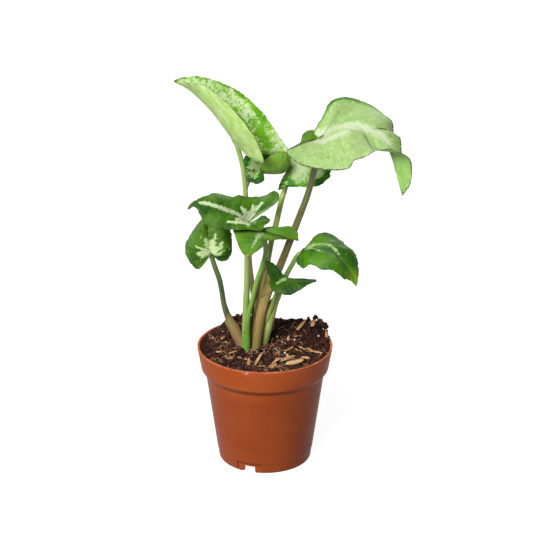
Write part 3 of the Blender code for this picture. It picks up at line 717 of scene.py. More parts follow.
# %% Scatter helper
def scattered(count, make_one, batch=40):
    """Runs make_one(bm, number) for each piece, in batches, and joins them all in one bmesh."""
    whole = bmesh.new()
    for start in range(0, count, batch):
        bm = bmesh.new()
        for number in range(start, min(count, start + batch)):
            make_one(bm, number)
        mesh = mesh_from("batch", bm)
        whole.from_mesh(mesh)
        bpy.data.meshes.remove(mesh)
    return whole


STALK_FEET = (-7.5, 4)


def place_in_pot(draw, reach, clear):
    """A seeded place on the soil, within reach of the axis and clear of the stalks' feet."""
    while True:
        out, turn = reach * math.sqrt(draw.random()), draw.uniform(0, 2 * math.pi)
        x, y = out * math.cos(turn), out * math.sin(turn)
        if math.dist((x, y), STALK_FEET) > clear:
            return x, y


def random_turn(draw):
    return Euler((draw.uniform(0, 6.3), draw.uniform(0, 6.3), draw.uniform(0, 6.3))).to_matrix().to_4x4()

# %% [markdown]
# A crumb is an icosphere, squashed, turned at random and dented by noise, so no two are alike. The first
# ones are listed one by one, where single clods stand out against the background in the photograph.

# %% Crumbs
draw = random.Random(11)
# Clods that stand out against the background at the back and the right: x, y, lift, radius
CLODS = (
    (36.0, 10.0, 2.6, 2.1), (37.0, 6.0, 1.8, 1.8), (34.6, 14.5, 3.2, 2.2), (32.4, 18.5, 3.2, 2.1),
    (35.2, 12.5, 4.2, 1.7), (29.8, 21.5, 2.8, 1.6), (26.0, 24.5, 1.6, 1.7), (21.5, 25.5, 1.4, 1.4),
    (20.0, 28.0, 0.6, 1.1), (13.6, 29.0, 0.8, 1.2), (37.6, 1.0, 0.6, 1.2), (33.4, 16.5, 4.6, 1.3),
    (-20.0, 27.5, 1.4, 1.6), (-26.5, 22.5, 1.0, 1.5), (7.0, 31.0, 0.4, 1.2), (-13.0, 31.5, 1.2, 1.5),
    (28.0, 15.0, 1.2, 2.0), (31.0, 8.0, 1.0, 1.8), (24.0, 19.0, 1.0, 1.9), (17.0, 22.0, 0.8, 1.7),
    (36.8, 8.0, 3.4, 1.2), (31.0, 20.0, 4.2, 1.1), (33.8, 12.0, 2.6, 2.0), (-16.5, 30.0, 1.6, 1.3),
)


CRUMBS, LARGE_CRUMBS = 3000, 620
LARGE_RADII, SMALL_RADII = (0.9, 2.1), (0.3, 0.85)


def add_crumb(bm, number):
    large = number < LARGE_CRUMBS
    radius = draw.uniform(*LARGE_RADII) * draw.uniform(0.7, 1) if large else draw.uniform(*SMALL_RADII)
    x, y = place_in_pot(draw, 37.6 - radius, 5.5 if large else 3.5)
    lift = 0.15 * radius
    if number < len(CLODS):
        x, y, lift, radius = CLODS[number]
    size = Matrix.Diagonal((1, draw.uniform(0.6, 1), draw.uniform(0.5, 0.9), 1))
    where = Matrix.Translation((x, y, soil_height(x, y) + crumbly(x, y) * 0.8 + lift))
    tone_layer = bm.verts.layers.float.get("tone") or bm.verts.layers.float.new("tone")
    tone = draw.random() ** 2
    turned = where @ random_turn(draw) @ size
    made = bmesh.ops.create_icosphere(bm, subdivisions=2 if large else 1, radius=radius, matrix=turned)
    centre = Vector(where.translation)
    for vertex in made["verts"]:
        arm = vertex.co - centre
        vertex.co = centre + arm * (1 + 0.8 * noise.noise(vertex.co * (1.7 / radius + 0.4)))
        vertex[tone_layer] = tone


add_piece("peat_crumbs", scattered(CRUMBS, add_crumb), [peat])

# %% [markdown]
# Bark splits along its fibres, so a chip is a narrow slab with pointed, uneven ends. Each vertex keeps its
# place along and across the chip, and the fibre lines of the finish follow that.

# %% Bark chips
draw = random.Random(23)
chip_finish, tree, shader = new_surface("split_bark", 0.7, 0.3)
lines = use_group(tree, lengthwise_fibre, {"Fibre": read_vector(tree, "fibre"), "Fineness": 2.6})
chip_tone = cloudy(tree, object_place(tree), 150.0, (232, 188, 132), (186, 126, 76))
chip_lined = tinted(tree, multiply(tree, lines["Mask"], 0.5), chip_tone, (136, 84, 48))
plug_in(tree, shader, {"Base Color": chip_lined, "Normal": bump_from(tree, lines["Height"], 0.0005, 0.8)})

# Chips that the photograph shows plainly: x, y, length, width, turn and tilt in degrees, lift
PLAIN_CHIPS = (
    (17.8, -21.5, 10.0, 3.6, 14, 6, 1.4), (11.0, -17.0, 9.0, 2.0, 24, 5, 0.8),
    (-4.0, -19.5, 9.0, 2.0, 60, 30, 1.8), (-9.4, -23.0, 4.6, 1.9, 86, 48, 1.2),
    (-18.5, -13.5, 9.8, 2.2, 4, 3, 0.6), (24.0, -14.5, 5.5, 2.0, -32, 4, 0.7),
    (4.6, -26.0, 5.0, 2.6, 20, 14, 0.9), (21.6, 16.0, 8.5, 2.1, 48, 26, 2.2),
    (28.6, 14.0, 4.6, 2.4, 66, 34, 2.0), (22.5, -2.0, 9.0, 1.2, -55, 0, 0.7),
    (30.0, -7.0, 9.0, 1.3, -24, 0, 0.7), (-27.0, -6.0, 4.0, 1.4, 12, 2, 0.5),
    (36.6, 7.0, 4.6, 1.8, 84, 50, 1.8), (8.5, -16.5, 5.5, 1.5, -30, 8, 0.6),
    (6.4, -20.5, 7.0, 1.8, 42, 10, 0.9), (-2.5, -26.0, 7.5, 0.9, 6, 0, 0.6),
    (14.5, -13.0, 7.5, 1.3, 22, 2, 0.6), (20.5, -16.5, 5.0, 1.2, 30, 6, 0.9),
)


CHIPS = 40


def add_chip(bm, number):
    """A sliver: a small grid, thickened, then narrowed, split and bent."""
    if number < len(PLAIN_CHIPS):
        x, y, length, width, turn, pitch, lift = PLAIN_CHIPS[number]
        turn, pitch = math.radians(turn), math.radians(pitch)
    else:
        x, y = place_in_pot(draw, 35, 7)
        length = draw.uniform(1.8, 6.5)
        width, lift = length * draw.uniform(0.16, 0.34), draw.uniform(0.1, 0.7)
        turn, pitch = draw.uniform(0, 6.3), draw.uniform(-0.2, 0.3)
    layer = bm.verts.layers.float_vector.get("fibre") or bm.verts.layers.float_vector.new("fibre")
    made = bmesh.ops.create_grid(bm, x_segments=2, y_segments=7, size=1)
    ring = [f for f in bm.faces if all(v in set(made["verts"]) for v in f.verts)]
    grown = bmesh.ops.extrude_face_region(bm, geom=ring)["geom"]
    top = [v for v in grown if isinstance(v, bmesh.types.BMVert)]
    bend, point = draw.uniform(-0.5, 0.5), draw.uniform(0.15, 0.8)
    thick = min(0.75, width * 0.42)
    tilt = Euler((draw.uniform(-0.4, 0.4), -pitch, 0)).to_matrix().to_4x4()
    centre = Matrix.Translation((x, y, soil_height(x, y) + 0.5 + lift))
    where = centre @ Matrix.Rotation(turn, 4, "Z") @ tilt
    seed = Vector((number * 3.1, 0, 0))
    for vertex in made["verts"] + top:
        across, along = vertex.co.x, vertex.co.y
        narrow = 1 - point * max(along, 0) ** 1.5 - 0.25 * max(-along, 0) ** 3
        split = 0.18 * noise.noise(seed + Vector((across * 3, 0, 0)))
        height = (thick if vertex in top else -thick) * (1 - 0.5 * across**2) * (1 - 0.3 * abs(along))
        height += bend * along**2 + 0.12 * noise.noise(seed + Vector((across * 2, along * 4, height)))
        local = Vector(((along + split * abs(along)) * length / 2, across * narrow * width / 2, height))
        vertex[layer] = (local.y, local.z, local.x)
        vertex.co = where @ local


chip_bm = scattered(CHIPS, add_chip, 1)
bmesh.ops.recalc_face_normals(chip_bm, faces=chip_bm.faces)
add_piece("bark_chips", chip_bm, [chip_finish])

# %% [markdown]
# Coir and peat threads are far longer than they are thick, so they are curves with a bevel, which Blender
# turns into tubes. A thread walks over the soil in short steps and turns a little at each one.


# %% Fibres and roots
def tubes_mesh(name, strands, resolution=0):
    """One mesh of thin closed tubes. A strand is a list of x, y, z and radius."""
    curve = bpy.data.curves.new(name, "CURVE")
    curve.dimensions = "3D"
    curve.bevel_depth = MM
    curve.bevel_resolution = resolution
    curve.use_fill_caps = True
    for strand in strands:
        spline = curve.splines.new("POLY")
        spline.points.add(len(strand) - 1)
        for point, (x, y, z, radius) in zip(spline.points, strand):
            point.co = (*(TO_FRAME @ Vector((x, y, z))), 1)
            point.radius = radius
    mesh = final_mesh(new_object(name, curve))
    bm = bmesh.new()
    bm.from_mesh(mesh)
    bmesh.ops.remove_doubles(bm, verts=bm.verts, dist=0.000004)
    bmesh.ops.recalc_face_normals(bm, faces=bm.faces)
    bm.to_mesh(mesh)
    bm.free()
    return mesh


STRAND_LIFT, END_DIP = 0.35, 0.8


def lying_strand(draw, x, y, turn, length, thickness, curl, lift):
    """A thread that lies on the soil, bends as it goes and dips in at both ends."""
    strand, steps = [], 9
    for step in range(steps):
        share = step / (steps - 1)
        arch = lift * math.sin(math.pi * share)
        dip = END_DIP if step in (0, steps - 1) else 0
        strand.append((x, y, soil_height(x, y) + STRAND_LIFT + arch - dip, thickness * (1 - 0.55 * share)))
        x += math.cos(turn) * length / steps
        y += math.sin(turn) * length / steps
        turn += draw.uniform(-curl, curl)
        if math.hypot(x, y) > 37:
            turn += math.pi * 0.75
    return strand


def scattered_strands(draw, count, reach, clear, lengths, thicknesses, curl, lifts):
    """Threads all over the soil. lengths, thicknesses and lifts are the limits of a seeded choice."""
    strands = []
    for _ in range(count):
        x, y = place_in_pot(draw, reach, clear)
        length, thickness = draw.uniform(*lengths), draw.uniform(*thicknesses)
        turn, lift = draw.uniform(0, 6.3), draw.uniform(*lifts)
        strands.append(lying_strand(draw, x, y, turn, length, thickness, curl, lift))
    return strands


def plain_finish(name, first, second, roughness, scale=260.0):
    """Two near colours in soft patches over a faint grain."""
    material, tree, shader = new_surface(name, roughness, 0.35)
    place = object_place(tree)
    grain = bump_from(tree, noise_at(tree, place, 1500.0, 3.0), 0.0002, 0.6)
    plug_in(tree, shader, {"Base Color": cloudy(tree, place, scale, first, second), "Normal": grain})
    return material


draw = random.Random(31)
tan_strands = scattered_strands(draw, 110, 35, 6, (3, 12), (0.10, 0.26), 0.55, (0.2, 1.8))
tan_strands += scattered_strands(draw, 18, 33, 8, (4, 8), (0.12, 0.2), 0.4, (2.5, 4.5))
fibre_finish = plain_finish("coir_fibre", (214, 166, 116), (150, 88, 56), 0.7)
add_mesh_piece("coir_fibres", tubes_mesh("coir_fibres", tan_strands), [fibre_finish])

dark_strands = scattered_strands(draw, 170, 36, 5, (2, 9), (0.08, 0.2), 0.9, (0.2, 1.6))
dark_fibre_finish = plain_finish("peat_fibre", (140, 78, 54), (76, 42, 30), 0.85)
add_mesh_piece("peat_fibres", tubes_mesh("peat_fibres", dark_strands), [dark_fibre_finish])

# %% [markdown]
# A few young roots show where the stalks leave the soil, and pale specks of perlite lie between the
# crumbs. Both use the plain finish of the threads in lighter colours.

# %% White roots and perlite
# Roots leave the stems' feet and dive into the soil: x, y, turn in degrees, length, radius
ROOT_STARTS = (
    (-8.5, -1.5, -75, 6.5, 0.3), (-7.0, -2.0, -60, 8.0, 0.26), (-9.5, -1.0, -120, 5.0, 0.22),
    (4.5, -1.0, -50, 7.0, 0.24), (-14.5, 2.0, -150, 5.5, 0.22), (8.0, -8.0, 62, 9.0, 0.2),
    (-1.0, -0.5, -85, 5.0, 0.24),
)
ROOT_CURL, ROOT_LIFT = 0.35, 0.8
root_strands = [
    lying_strand(draw, x, y, math.radians(turn), length, radius, ROOT_CURL, ROOT_LIFT)
    for x, y, turn, length, radius in ROOT_STARTS
]
root_finish = plain_finish("young_root", (226, 206, 172), (196, 164, 122), 0.5)
add_mesh_piece("surface_roots", tubes_mesh("surface_roots", root_strands, 1), [root_finish])


PERLITE_GRAINS = 22


def add_perlite(bm, number):
    x, y = place_in_pot(draw, 35, 8)
    radius = draw.uniform(0.3, 0.75)
    centre = Vector((x, y, soil_height(x, y) + 0.5))
    made = bmesh.ops.create_icosphere(bm, subdivisions=2, radius=radius, matrix=Matrix.Translation(centre))
    for vertex in made["verts"]:
        vertex.co = centre + (vertex.co - centre) * (1 + 0.5 * noise.noise(vertex.co * 1.9))


perlite_finish = plain_finish("perlite", (238, 234, 224), (206, 196, 180), 0.8, 700.0)
add_piece("perlite_grains", scattered(PERLITE_GRAINS, add_perlite), [perlite_finish])

# %% [markdown]
# ## The form of a leaf
# A blade is described by three lines in space: the midrib from the stalk's top to the tip, and the left and
# right edge, each running from the stalk out round the rear lobe and on to the tip. Ribs join the midrib to
# the edge, and a bulge lifts each rib off its straight line. That is the same description as the CAD blade
# has, so the fine blade lies where the solid is, give or take the 2 to 3 mm by which some edges were moved
# towards the photograph. A grid of squares is bent into that form, which keeps two handy numbers for each
# vertex: how far across the blade it is, and how far round its edge.

# %% Leaf tables
LOBE_SHARE = 0.4
# "midrib", "left" and "right" are lines in millimetres; an edge's fourth number is its bulge
LEAVES = {
    "tall_left": {
        "midrib": ((-15, 3, 194.5), (-23, 4, 206), (-32, 5, 217.5), (-42.5, 4, 228), (-51.5, 2, 234)),
        "left": (
            (-7.5, -6, 193, 0), (-0.5, -12, 189.5, -2), (-4, -15, 203, -3), (-10, -15, 212.5, -4),
            (-18.5, -13, 223, -4), (-27, -10, 230, -3), (-36.5, -4, 234, -1),
        ),
        "right": (
            (-6.5, 8, 189.5, 0), (2, 11, 186.5, 0), (9, 14, 184.6, 0), (14.3, 15, 186.6, -1),
            (8.5, 15, 196, -2), (-1.5, 14, 211.5, -2), (-14, 12, 224, -2), (-25.5, 9, 231, -1),
            (-39.5, 6, 236, 0), (-47.5, 3.5, 235.5, 0),
        ),
    },
    "broad_right": {
        "midrib": (
            (31.5, 2, 199.5), (39, 3, 205), (48.5, 4, 207.5), (58.5, 3, 206), (66.5, 1, 201),
            (71, -2, 194.5), (74, -4, 187), (76, -5, 178), (79, -6, 167.5),
        ),
        "left": (
            (28, 6, 202.5, 0), (33, 12, 209, 1), (37.5, 18, 216, 1), (45, 22, 218, 2), (52.5, 24, 216, 2),
            (61.2, 24, 212.4, 2), (68.3, 20.3, 208.3, 3), (73.4, 16.3, 204.3, 4), (74.5, 11, 198, 3),
            (77.5, 8, 198, 2), (78.5, 4, 193.5, 1), (77.5, 0, 189.5, 0), (77.5, -3, 181, 0),
        ),
        "right": (
            (21.5, -8, 201, 0), (16, -14, 200, 0), (12, -18, 198.5, 1), (19, -22, 193, 2),
            (28, -24, 191, 3), (39.5, -25, 190, 3), (47.5, -24, 191, 3), (50.5, -22, 195, 2),
            (57, -20, 196.4, 0), (61.5, -19, 199.4, -5), (69.5, -17, 200.2, -6), (77, -15, 196.6, -2),
            (82, -12, 192.5, 0), (84, -10, 185, 0), (83, -8, 175.5, 0),
        ),
    },
    "back_right": {
        "midrib": ((17.5, 17, 183.5), (15.5, 14, 178.5), (13, 11, 172), (8, 7, 166.5)),
        "left": (
            (21.5, 21, 187, 0), (22, 24.5, 193.5, 0), (26.5, 27.5, 196, 1), (33, 26, 192, 2),
            (38, 20, 181.5, 2), (38, 15, 175, 2), (36, 12, 170.5, 2), (29, 9, 167.5, 1), (20.5, 8, 168, 0),
            (13, 7, 168, 0),
        ),
        "right": (
            (14, 18, 182.5, 0), (10.5, 18, 180, 0), (13, 14, 177.5, 0), (10.5, 9, 173.5, 0),
            (8.5, 7, 170, 0),
        ),
    },
    "back_middle": {
        "midrib": ((-6, 14, 175.5), (-0.5, 12, 175.5), (6, 10, 175.5), (11.5, 8, 177.5), (15, 6, 184.5)),
        "left": (
            (-12.4, 15.5, 175.6, 0), (-12.8, 19, 178.4, 0), (-11.6, 22.5, 181.5, 0), (-8, 26, 183, 1),
            (-1.5, 24, 184, 1), (4, 19, 184, 1), (10.5, 12, 186, 1),
        ),
        "right": (
            (-12.4, 14.6, 175, 0), (-12.2, 12.6, 172.6, 0), (-9, 10, 170.2, 0), (-4, 7.5, 169.8, 0),
            (-0.6, 6, 174, -1), (-3.4, 2.4, 181.4, -2.5), (0.8, 0.4, 188, -3.5), (6.5, 1, 191, -3.5),
            (12, 4, 190.6, -2),
        ),
    },
    "low_left": {
        "midrib": (
            (-11, -6, 150), (-15, -8, 155.5), (-20.5, -10, 160), (-28.5, -12, 164), (-36.5, -13, 165.5),
            (-40.5, -14, 165), (-44, -14, 162.5),
        ),
        "left": (
            (-5, -7, 152, 0), (-2.6, -7.5, 154.8, 0), (0, -8, 156.2, 0), (3, -10, 153.8, 0),
            (-0.4, -13.5, 152.4, 0), (-1.8, -17, 150.8, 1), (-8.5, -19, 152, 2), (-19, -21, 152.5, 2),
            (-27.5, -22, 153.5, 2), (-34.5, -21, 156.5, 1), (-38, -18, 162.5, 1), (-41, -15, 164.5, 0),
        ),
        "right": (
            (-8, -5.5, 153, 0), (-3.5, -4, 157, 0), (6, -3, 161.5, 0), (8.5, -1, 166, 0),
            (5, -0.5, 168.5, 0), (-0.5, -0.5, 165.5, 0), (-7.5, -0.5, 165, 1), (-14.5, -1, 166, 1),
            (-19.5, -1, 165, 1), (-27.5, -3, 168, 1), (-35.5, -7, 167.5, 1), (-41.5, -12, 166, 0),
        ),
    },
    "front": {
        "midrib": ((-1.5, -11, 149), (-4, -17, 147), (-7, -25, 144.4), (-10, -33, 141)),
        "left": (
            (2.5, -8, 149.2, 0), (8, -5.5, 148, 0), (14.5, -4.4, 148, 0), (18.6, -6.2, 145.2, 0),
            (19.2, -8.4, 143.4, 0), (19.3, -9.6, 141, 1), (17, -9.4, 142.4, 2), (12.5, -10, 143, 2.5),
            (6.5, -11.8, 143.4, 2), (1, -16, 144.3, 1), (-1.5, -24, 143, 1), (-7, -31, 141.5, 0),
        ),
        "right": (
            (-6.5, -8.5, 151.4, 0), (-12.5, -8.2, 152, 0), (-18.8, -10.4, 152, 0), (-17.8, -17, 149.2, 1),
            (-15, -26, 144.5, 1), (-12.5, -31.5, 142, 0),
        ),
    },
    "lowest_left": {
        "midrib": ((-31.5, 4, 127.5), (-32.5, 6, 134.5), (-33.5, 9, 142), (-34.5, 13, 149)),
        "left": (
            (-34, 3, 125, 0), (-36, 1, 122, 0), (-39.5, 0, 119.5, 0), (-43, 0, 123, 1), (-47, 2, 130, 2),
            (-45, 4, 137, 2), (-39.5, 7, 144.5, 2), (-36, 10, 148.5, 1),
        ),
        "right": (
            (-28.5, 4, 125, 0), (-25, 5, 122.5, 0), (-21.5, 6, 123.5, 1), (-19.5, 6, 128.5, 2),
            (-19, 7, 135, 2), (-21, 9, 141.5, 2), (-28, 12, 147.5, 1),
        ),
    },
    "low_right": {
        "midrib": (
            (22.5, -2, 132.5), (28.5, -4, 134.5), (36, -6, 134), (42.5, -8, 130), (47.5, -10, 124.5),
            (51, -11, 119), (53, -12, 114),
        ),
        "left": (
            (24.5, 0, 133, 0), (27.5, 3, 135, 0), (29, 6, 138, 0), (34, 9, 139, 1), (40, 9, 137.5, 2),
            (47, 7, 132.5, 3), (52, 2, 129.5, 3), (54.5, -2, 123.5, 2), (54.5, -7, 118, 1),
        ),
        "right": (
            (19.5, -6.5, 130.5, 0), (18, -9, 128, 0), (22, -12, 125, 1), (26.5, -15, 128.5, 2),
            (33, -19, 127, 3), (39, -20, 127, 3), (45, -19, 121.5, 2), (49, -15, 118.5, 1),
        ),
    },
    "lowest_right": {
        "midrib": ((8, -12, 118), (14.5, -14, 117.5), (22, -15, 118), (29.5, -15, 118.5)),
        "left": (
            (3.4, -13.8, 118.8, 0), (1.8, -13.2, 123, 0), (0.5, -12.2, 127.6, 0), (1.6, -11.5, 129.6, 0),
            (6.2, -10.2, 126.4, 1), (9.5, -8.5, 119.5, 1), (14.5, -8, 117, 1), (22, -11, 118, 1),
            (28, -14, 119, 0),
        ),
        "right": (
            (3.2, -14.2, 118.4, 0), (2.5, -16, 117, 0), (4, -19, 114.5, 0), (8.5, -21, 113, 1),
            (12.5, -22, 112.5, 1), (17, -21, 113, 1), (21, -19, 115, 1), (26, -16, 117, 0),
        ),
    },
}
print("leaves:", len(LEAVES))

# %% [markdown]
# The formula needs smooth lines. A curve through the given points is sampled evenly by length, and a rib
# joins a place on the midrib to the place on the edge that has the same share.

# %% Leaf formula
STEPS_BETWEEN = 24
MIDRIB_POINTS, EDGE_POINTS = 120, 240


def smooth_line(points, count):
    """Evenly spaced places on a smooth curve through the points, and the curve's length."""
    points = np.array(points, float)
    knots = np.vstack([2 * points[0] - points[1], points, 2 * points[-1] - points[-2]])
    share = np.linspace(0, 1, STEPS_BETWEEN, endpoint=False)[:, None]
    fine = []
    for a, b, c, d in zip(knots, knots[1:], knots[2:], knots[3:]):
        fine.append(
            b
            + 0.5 * share * (c - a)
            + share**2 * (a - 2.5 * b + 2 * c - 0.5 * d)
            + share**3 * (1.5 * (b - c) + 0.5 * (d - a))
        )
    fine = np.vstack([*fine, points[-1:]])
    reach = np.concatenate([[0], np.cumsum(np.linalg.norm(np.diff(fine[:, :3], axis=0), axis=1))])
    wanted = np.linspace(0, reach[-1], count)
    return np.stack([np.interp(wanted, reach, column) for column in fine.T], axis=1), reach[-1]


def unit(vectors):
    return vectors / np.maximum(np.linalg.norm(vectors, axis=-1, keepdims=True), 1e-9)


def along_line(line, share):
    """Rows of the line at shares of its length, from 0 to 1."""
    return np.stack([np.interp(share, np.linspace(0, 1, len(line)), column) for column in line.T], axis=1)


def blade_edge(leaf, name):
    """The line of one edge, with its bulge, from the stalk's top to the tip, and its length."""
    return smooth_line([(*leaf["midrib"][0], 0), *leaf[name], (*leaf["midrib"][-1], 0)], EDGE_POINTS)


def blade_side(leaf, name, across, rib):
    """Points of one half of a blade. across runs from 0 at the midrib to 1 at the edge, rib from 0 at the
    stalk round the lobe to 1 at the tip. The ribs of the lobe all start at the stalk's top."""
    midrib, _ = smooth_line(leaf["midrib"], MIDRIB_POINTS)
    edge, _ = blade_edge(leaf, name)
    heading = unit(np.gradient(edge[:, :3], axis=0))
    foot = along_line(midrib, np.clip((rib - LOBE_SHARE) / (1 - LOBE_SHARE), 0, 1) ** 1.1)
    outer = along_line(edge, rib)
    reach = outer[:, :3] - foot
    upward = unit(np.cross(along_line(heading, rib), reach)) * (1 if name == "left" else -1)
    bulge = outer[:, 3] * 4 * across * (1 - across)
    return foot + across[:, None] * reach + bulge[:, None] * upward


def blade_points(leaf, across, rib):
    """Puts points of the blade in space. across runs from -1, the left edge, to 1, the right edge."""
    points = blade_side(leaf, "right", np.maximum(across, 0), rib)
    left = across < 0
    points[left] = blade_side(leaf, "left", -across[left], rib[left])
    return points


def distance_to(points, line):
    """How far each point is from a line in space, and how far along that line the nearest place is."""
    line = np.asarray(line)[:, :3]
    fine = along_line(line, np.linspace(0, 1, max(40, 3 * len(line))))
    gaps = np.linalg.norm(points[:, None] - fine[None], axis=2)
    return gaps.min(axis=1), gaps.argmin(axis=1) / (len(fine) - 1)


# %% [markdown]
# ## Veins and pattern
# The main veins follow the ribs: a fan from the stalk's top into each lobe, then pairs off the midrib that
# bend towards the tip, and one vein that runs inside the margin and collects them. On the upper side a vein
# lies in a groove and the blade swells a little between two of them, and both are real relief here.
#
# The white pattern is drawn with strokes. A stroke follows a few places on the blade, given as "across,
# rib", with a half width at its start and its end. The mesh keeps how deep each vertex lies inside the
# nearest stroke, and the shader frays that number along the veins.

# %% Vein lines
LOBE_VEINS = (0.07, 0.17, 0.27, 0.36)
SIDE_VEINS = (0.45, 0.53, 0.61, 0.69, 0.77, 0.85, 0.92)
COLLECTING_VEIN = 0.86
# Half widths of the grooves at their start and end
MIDRIB_GROOVE, LOBE_GROOVE = (0.75, 0.3), (0.5, 0.2)
SIDE_GROOVE, COLLECTING_GROOVE = (0.45, 0.2), (0.22, 0.2)


def vein_lines(leaf):
    """The veins of one blade as lines in space, each with its groove's half width at the start and end."""
    lines = [(smooth_line(leaf["midrib"], 60)[0], *MIDRIB_GROOVE)]
    reach, around = np.linspace(0, 0.95, 24), np.linspace(0.04, 0.97, 90)
    for side in (-1, 1):
        for rib in LOBE_VEINS:
            lines.append((blade_points(leaf, side * reach, rib - 0.03 * reach**2), *LOBE_GROOVE))
        for rib in SIDE_VEINS:
            towards_tip = np.minimum(rib + 0.06 * reach**2, 0.99)
            lines.append((blade_points(leaf, side * reach, towards_tip), *SIDE_GROOVE))
        inside_margin = np.full(len(around), side * COLLECTING_VEIN)
        lines.append((blade_points(leaf, inside_margin, around), *COLLECTING_GROOVE))
    return lines


# %% [markdown]
# ## The looks of the nine leaves
# The three oldest, tallest leaves are nearly all cream, with green left near the margin. The low leaves are
# young and still dark, with a cream star at the heart. The undersides are plain and duller. Each entry says
# what the photograph shows of that leaf: its greens, its cream, its underside, its margin and its strokes.

# %% Leaf looks
# "base" is how pale the blade is away from strokes; "rim_drop" makes it greener towards the margin over
# "rim_fade" millimetres, on both sides (0) or one (-1 left, 1 right). "fray", "blotch" and "speckle" say
# how much each noise breaks the pattern up, "force" and "green" how strongly a pale or a green stroke
# works. "spill" is how far the edge may pass the solid's own box. A stroke is (places, half width at its
# start, half width at its end). "tip" is the tip's colour and how far it reaches. A leaf only gives what
# differs from DEFAULT_LOOK.
COLOUR_NAMES = ("deep", "bright", "middle", "pale", "under", "under_light", "margin")
LEAF_COLOURS = {
    "tall_left": (
        (86, 156, 26), (120, 184, 44), (166, 211, 104), (212, 230, 182), (170, 211, 108), (208, 232, 160),
        (124, 96, 50),
    ),
    "broad_right": (
        (80, 140, 50), (130, 182, 86), (166, 199, 122), (206, 220, 178), (148, 196, 98), (170, 212, 122),
        (70, 50, 46),
    ),
    "back_right": (
        (34, 104, 8), (92, 166, 26), (138, 184, 84), (186, 208, 150), (86, 132, 36), (104, 148, 52),
        (52, 56, 30),
    ),
    # back_middle's underside colours are raised to paint light onto its curled half, which the leaves above
    # shade.
    "back_middle": (
        (22, 82, 18), (40, 108, 28), (92, 156, 56), (176, 208, 134), (116, 166, 50), (146, 190, 80),
        (110, 74, 42),
    ),
    "low_left": (
        (50, 93, 17), (80, 125, 31), (104, 148, 68), (202, 218, 172), (96, 144, 66), (120, 164, 92),
        (110, 92, 50),
    ),
    "front": (
        (84, 132, 42), (100, 150, 50), (114, 160, 74), (170, 200, 140), (100, 130, 36), (128, 152, 56),
        (150, 100, 54),
    ),
    "lowest_left": (
        (52, 96, 16), (90, 136, 36), (108, 156, 60), (200, 220, 160), (118, 158, 74), (140, 176, 96),
        (84, 92, 40),
    ),
    "low_right": (
        (52, 100, 10), (84, 134, 26), (96, 144, 46), (176, 200, 142), (100, 148, 60), (126, 170, 84),
        (70, 84, 36),
    ),
    "lowest_right": (
        (42, 80, 14), (62, 100, 26), (96, 136, 60), (150, 184, 110), (70, 108, 36), (92, 130, 56),
        (60, 62, 34),
    ),
}
DEFAULT_LOOK = {
    "slot": "dark_leaf", "base": 0.05, "rim_fade": 1.0, "rim_drop": 0.0, "rim_side": 0, "force": 0.5,
    "green": 0.6, "lit": 1.0, "relief": 0.6, "scallop": 0.5, "spill": 0.0, "margin_width": 0.3,
    "green_strokes": (), "plain_strokes": (),
}
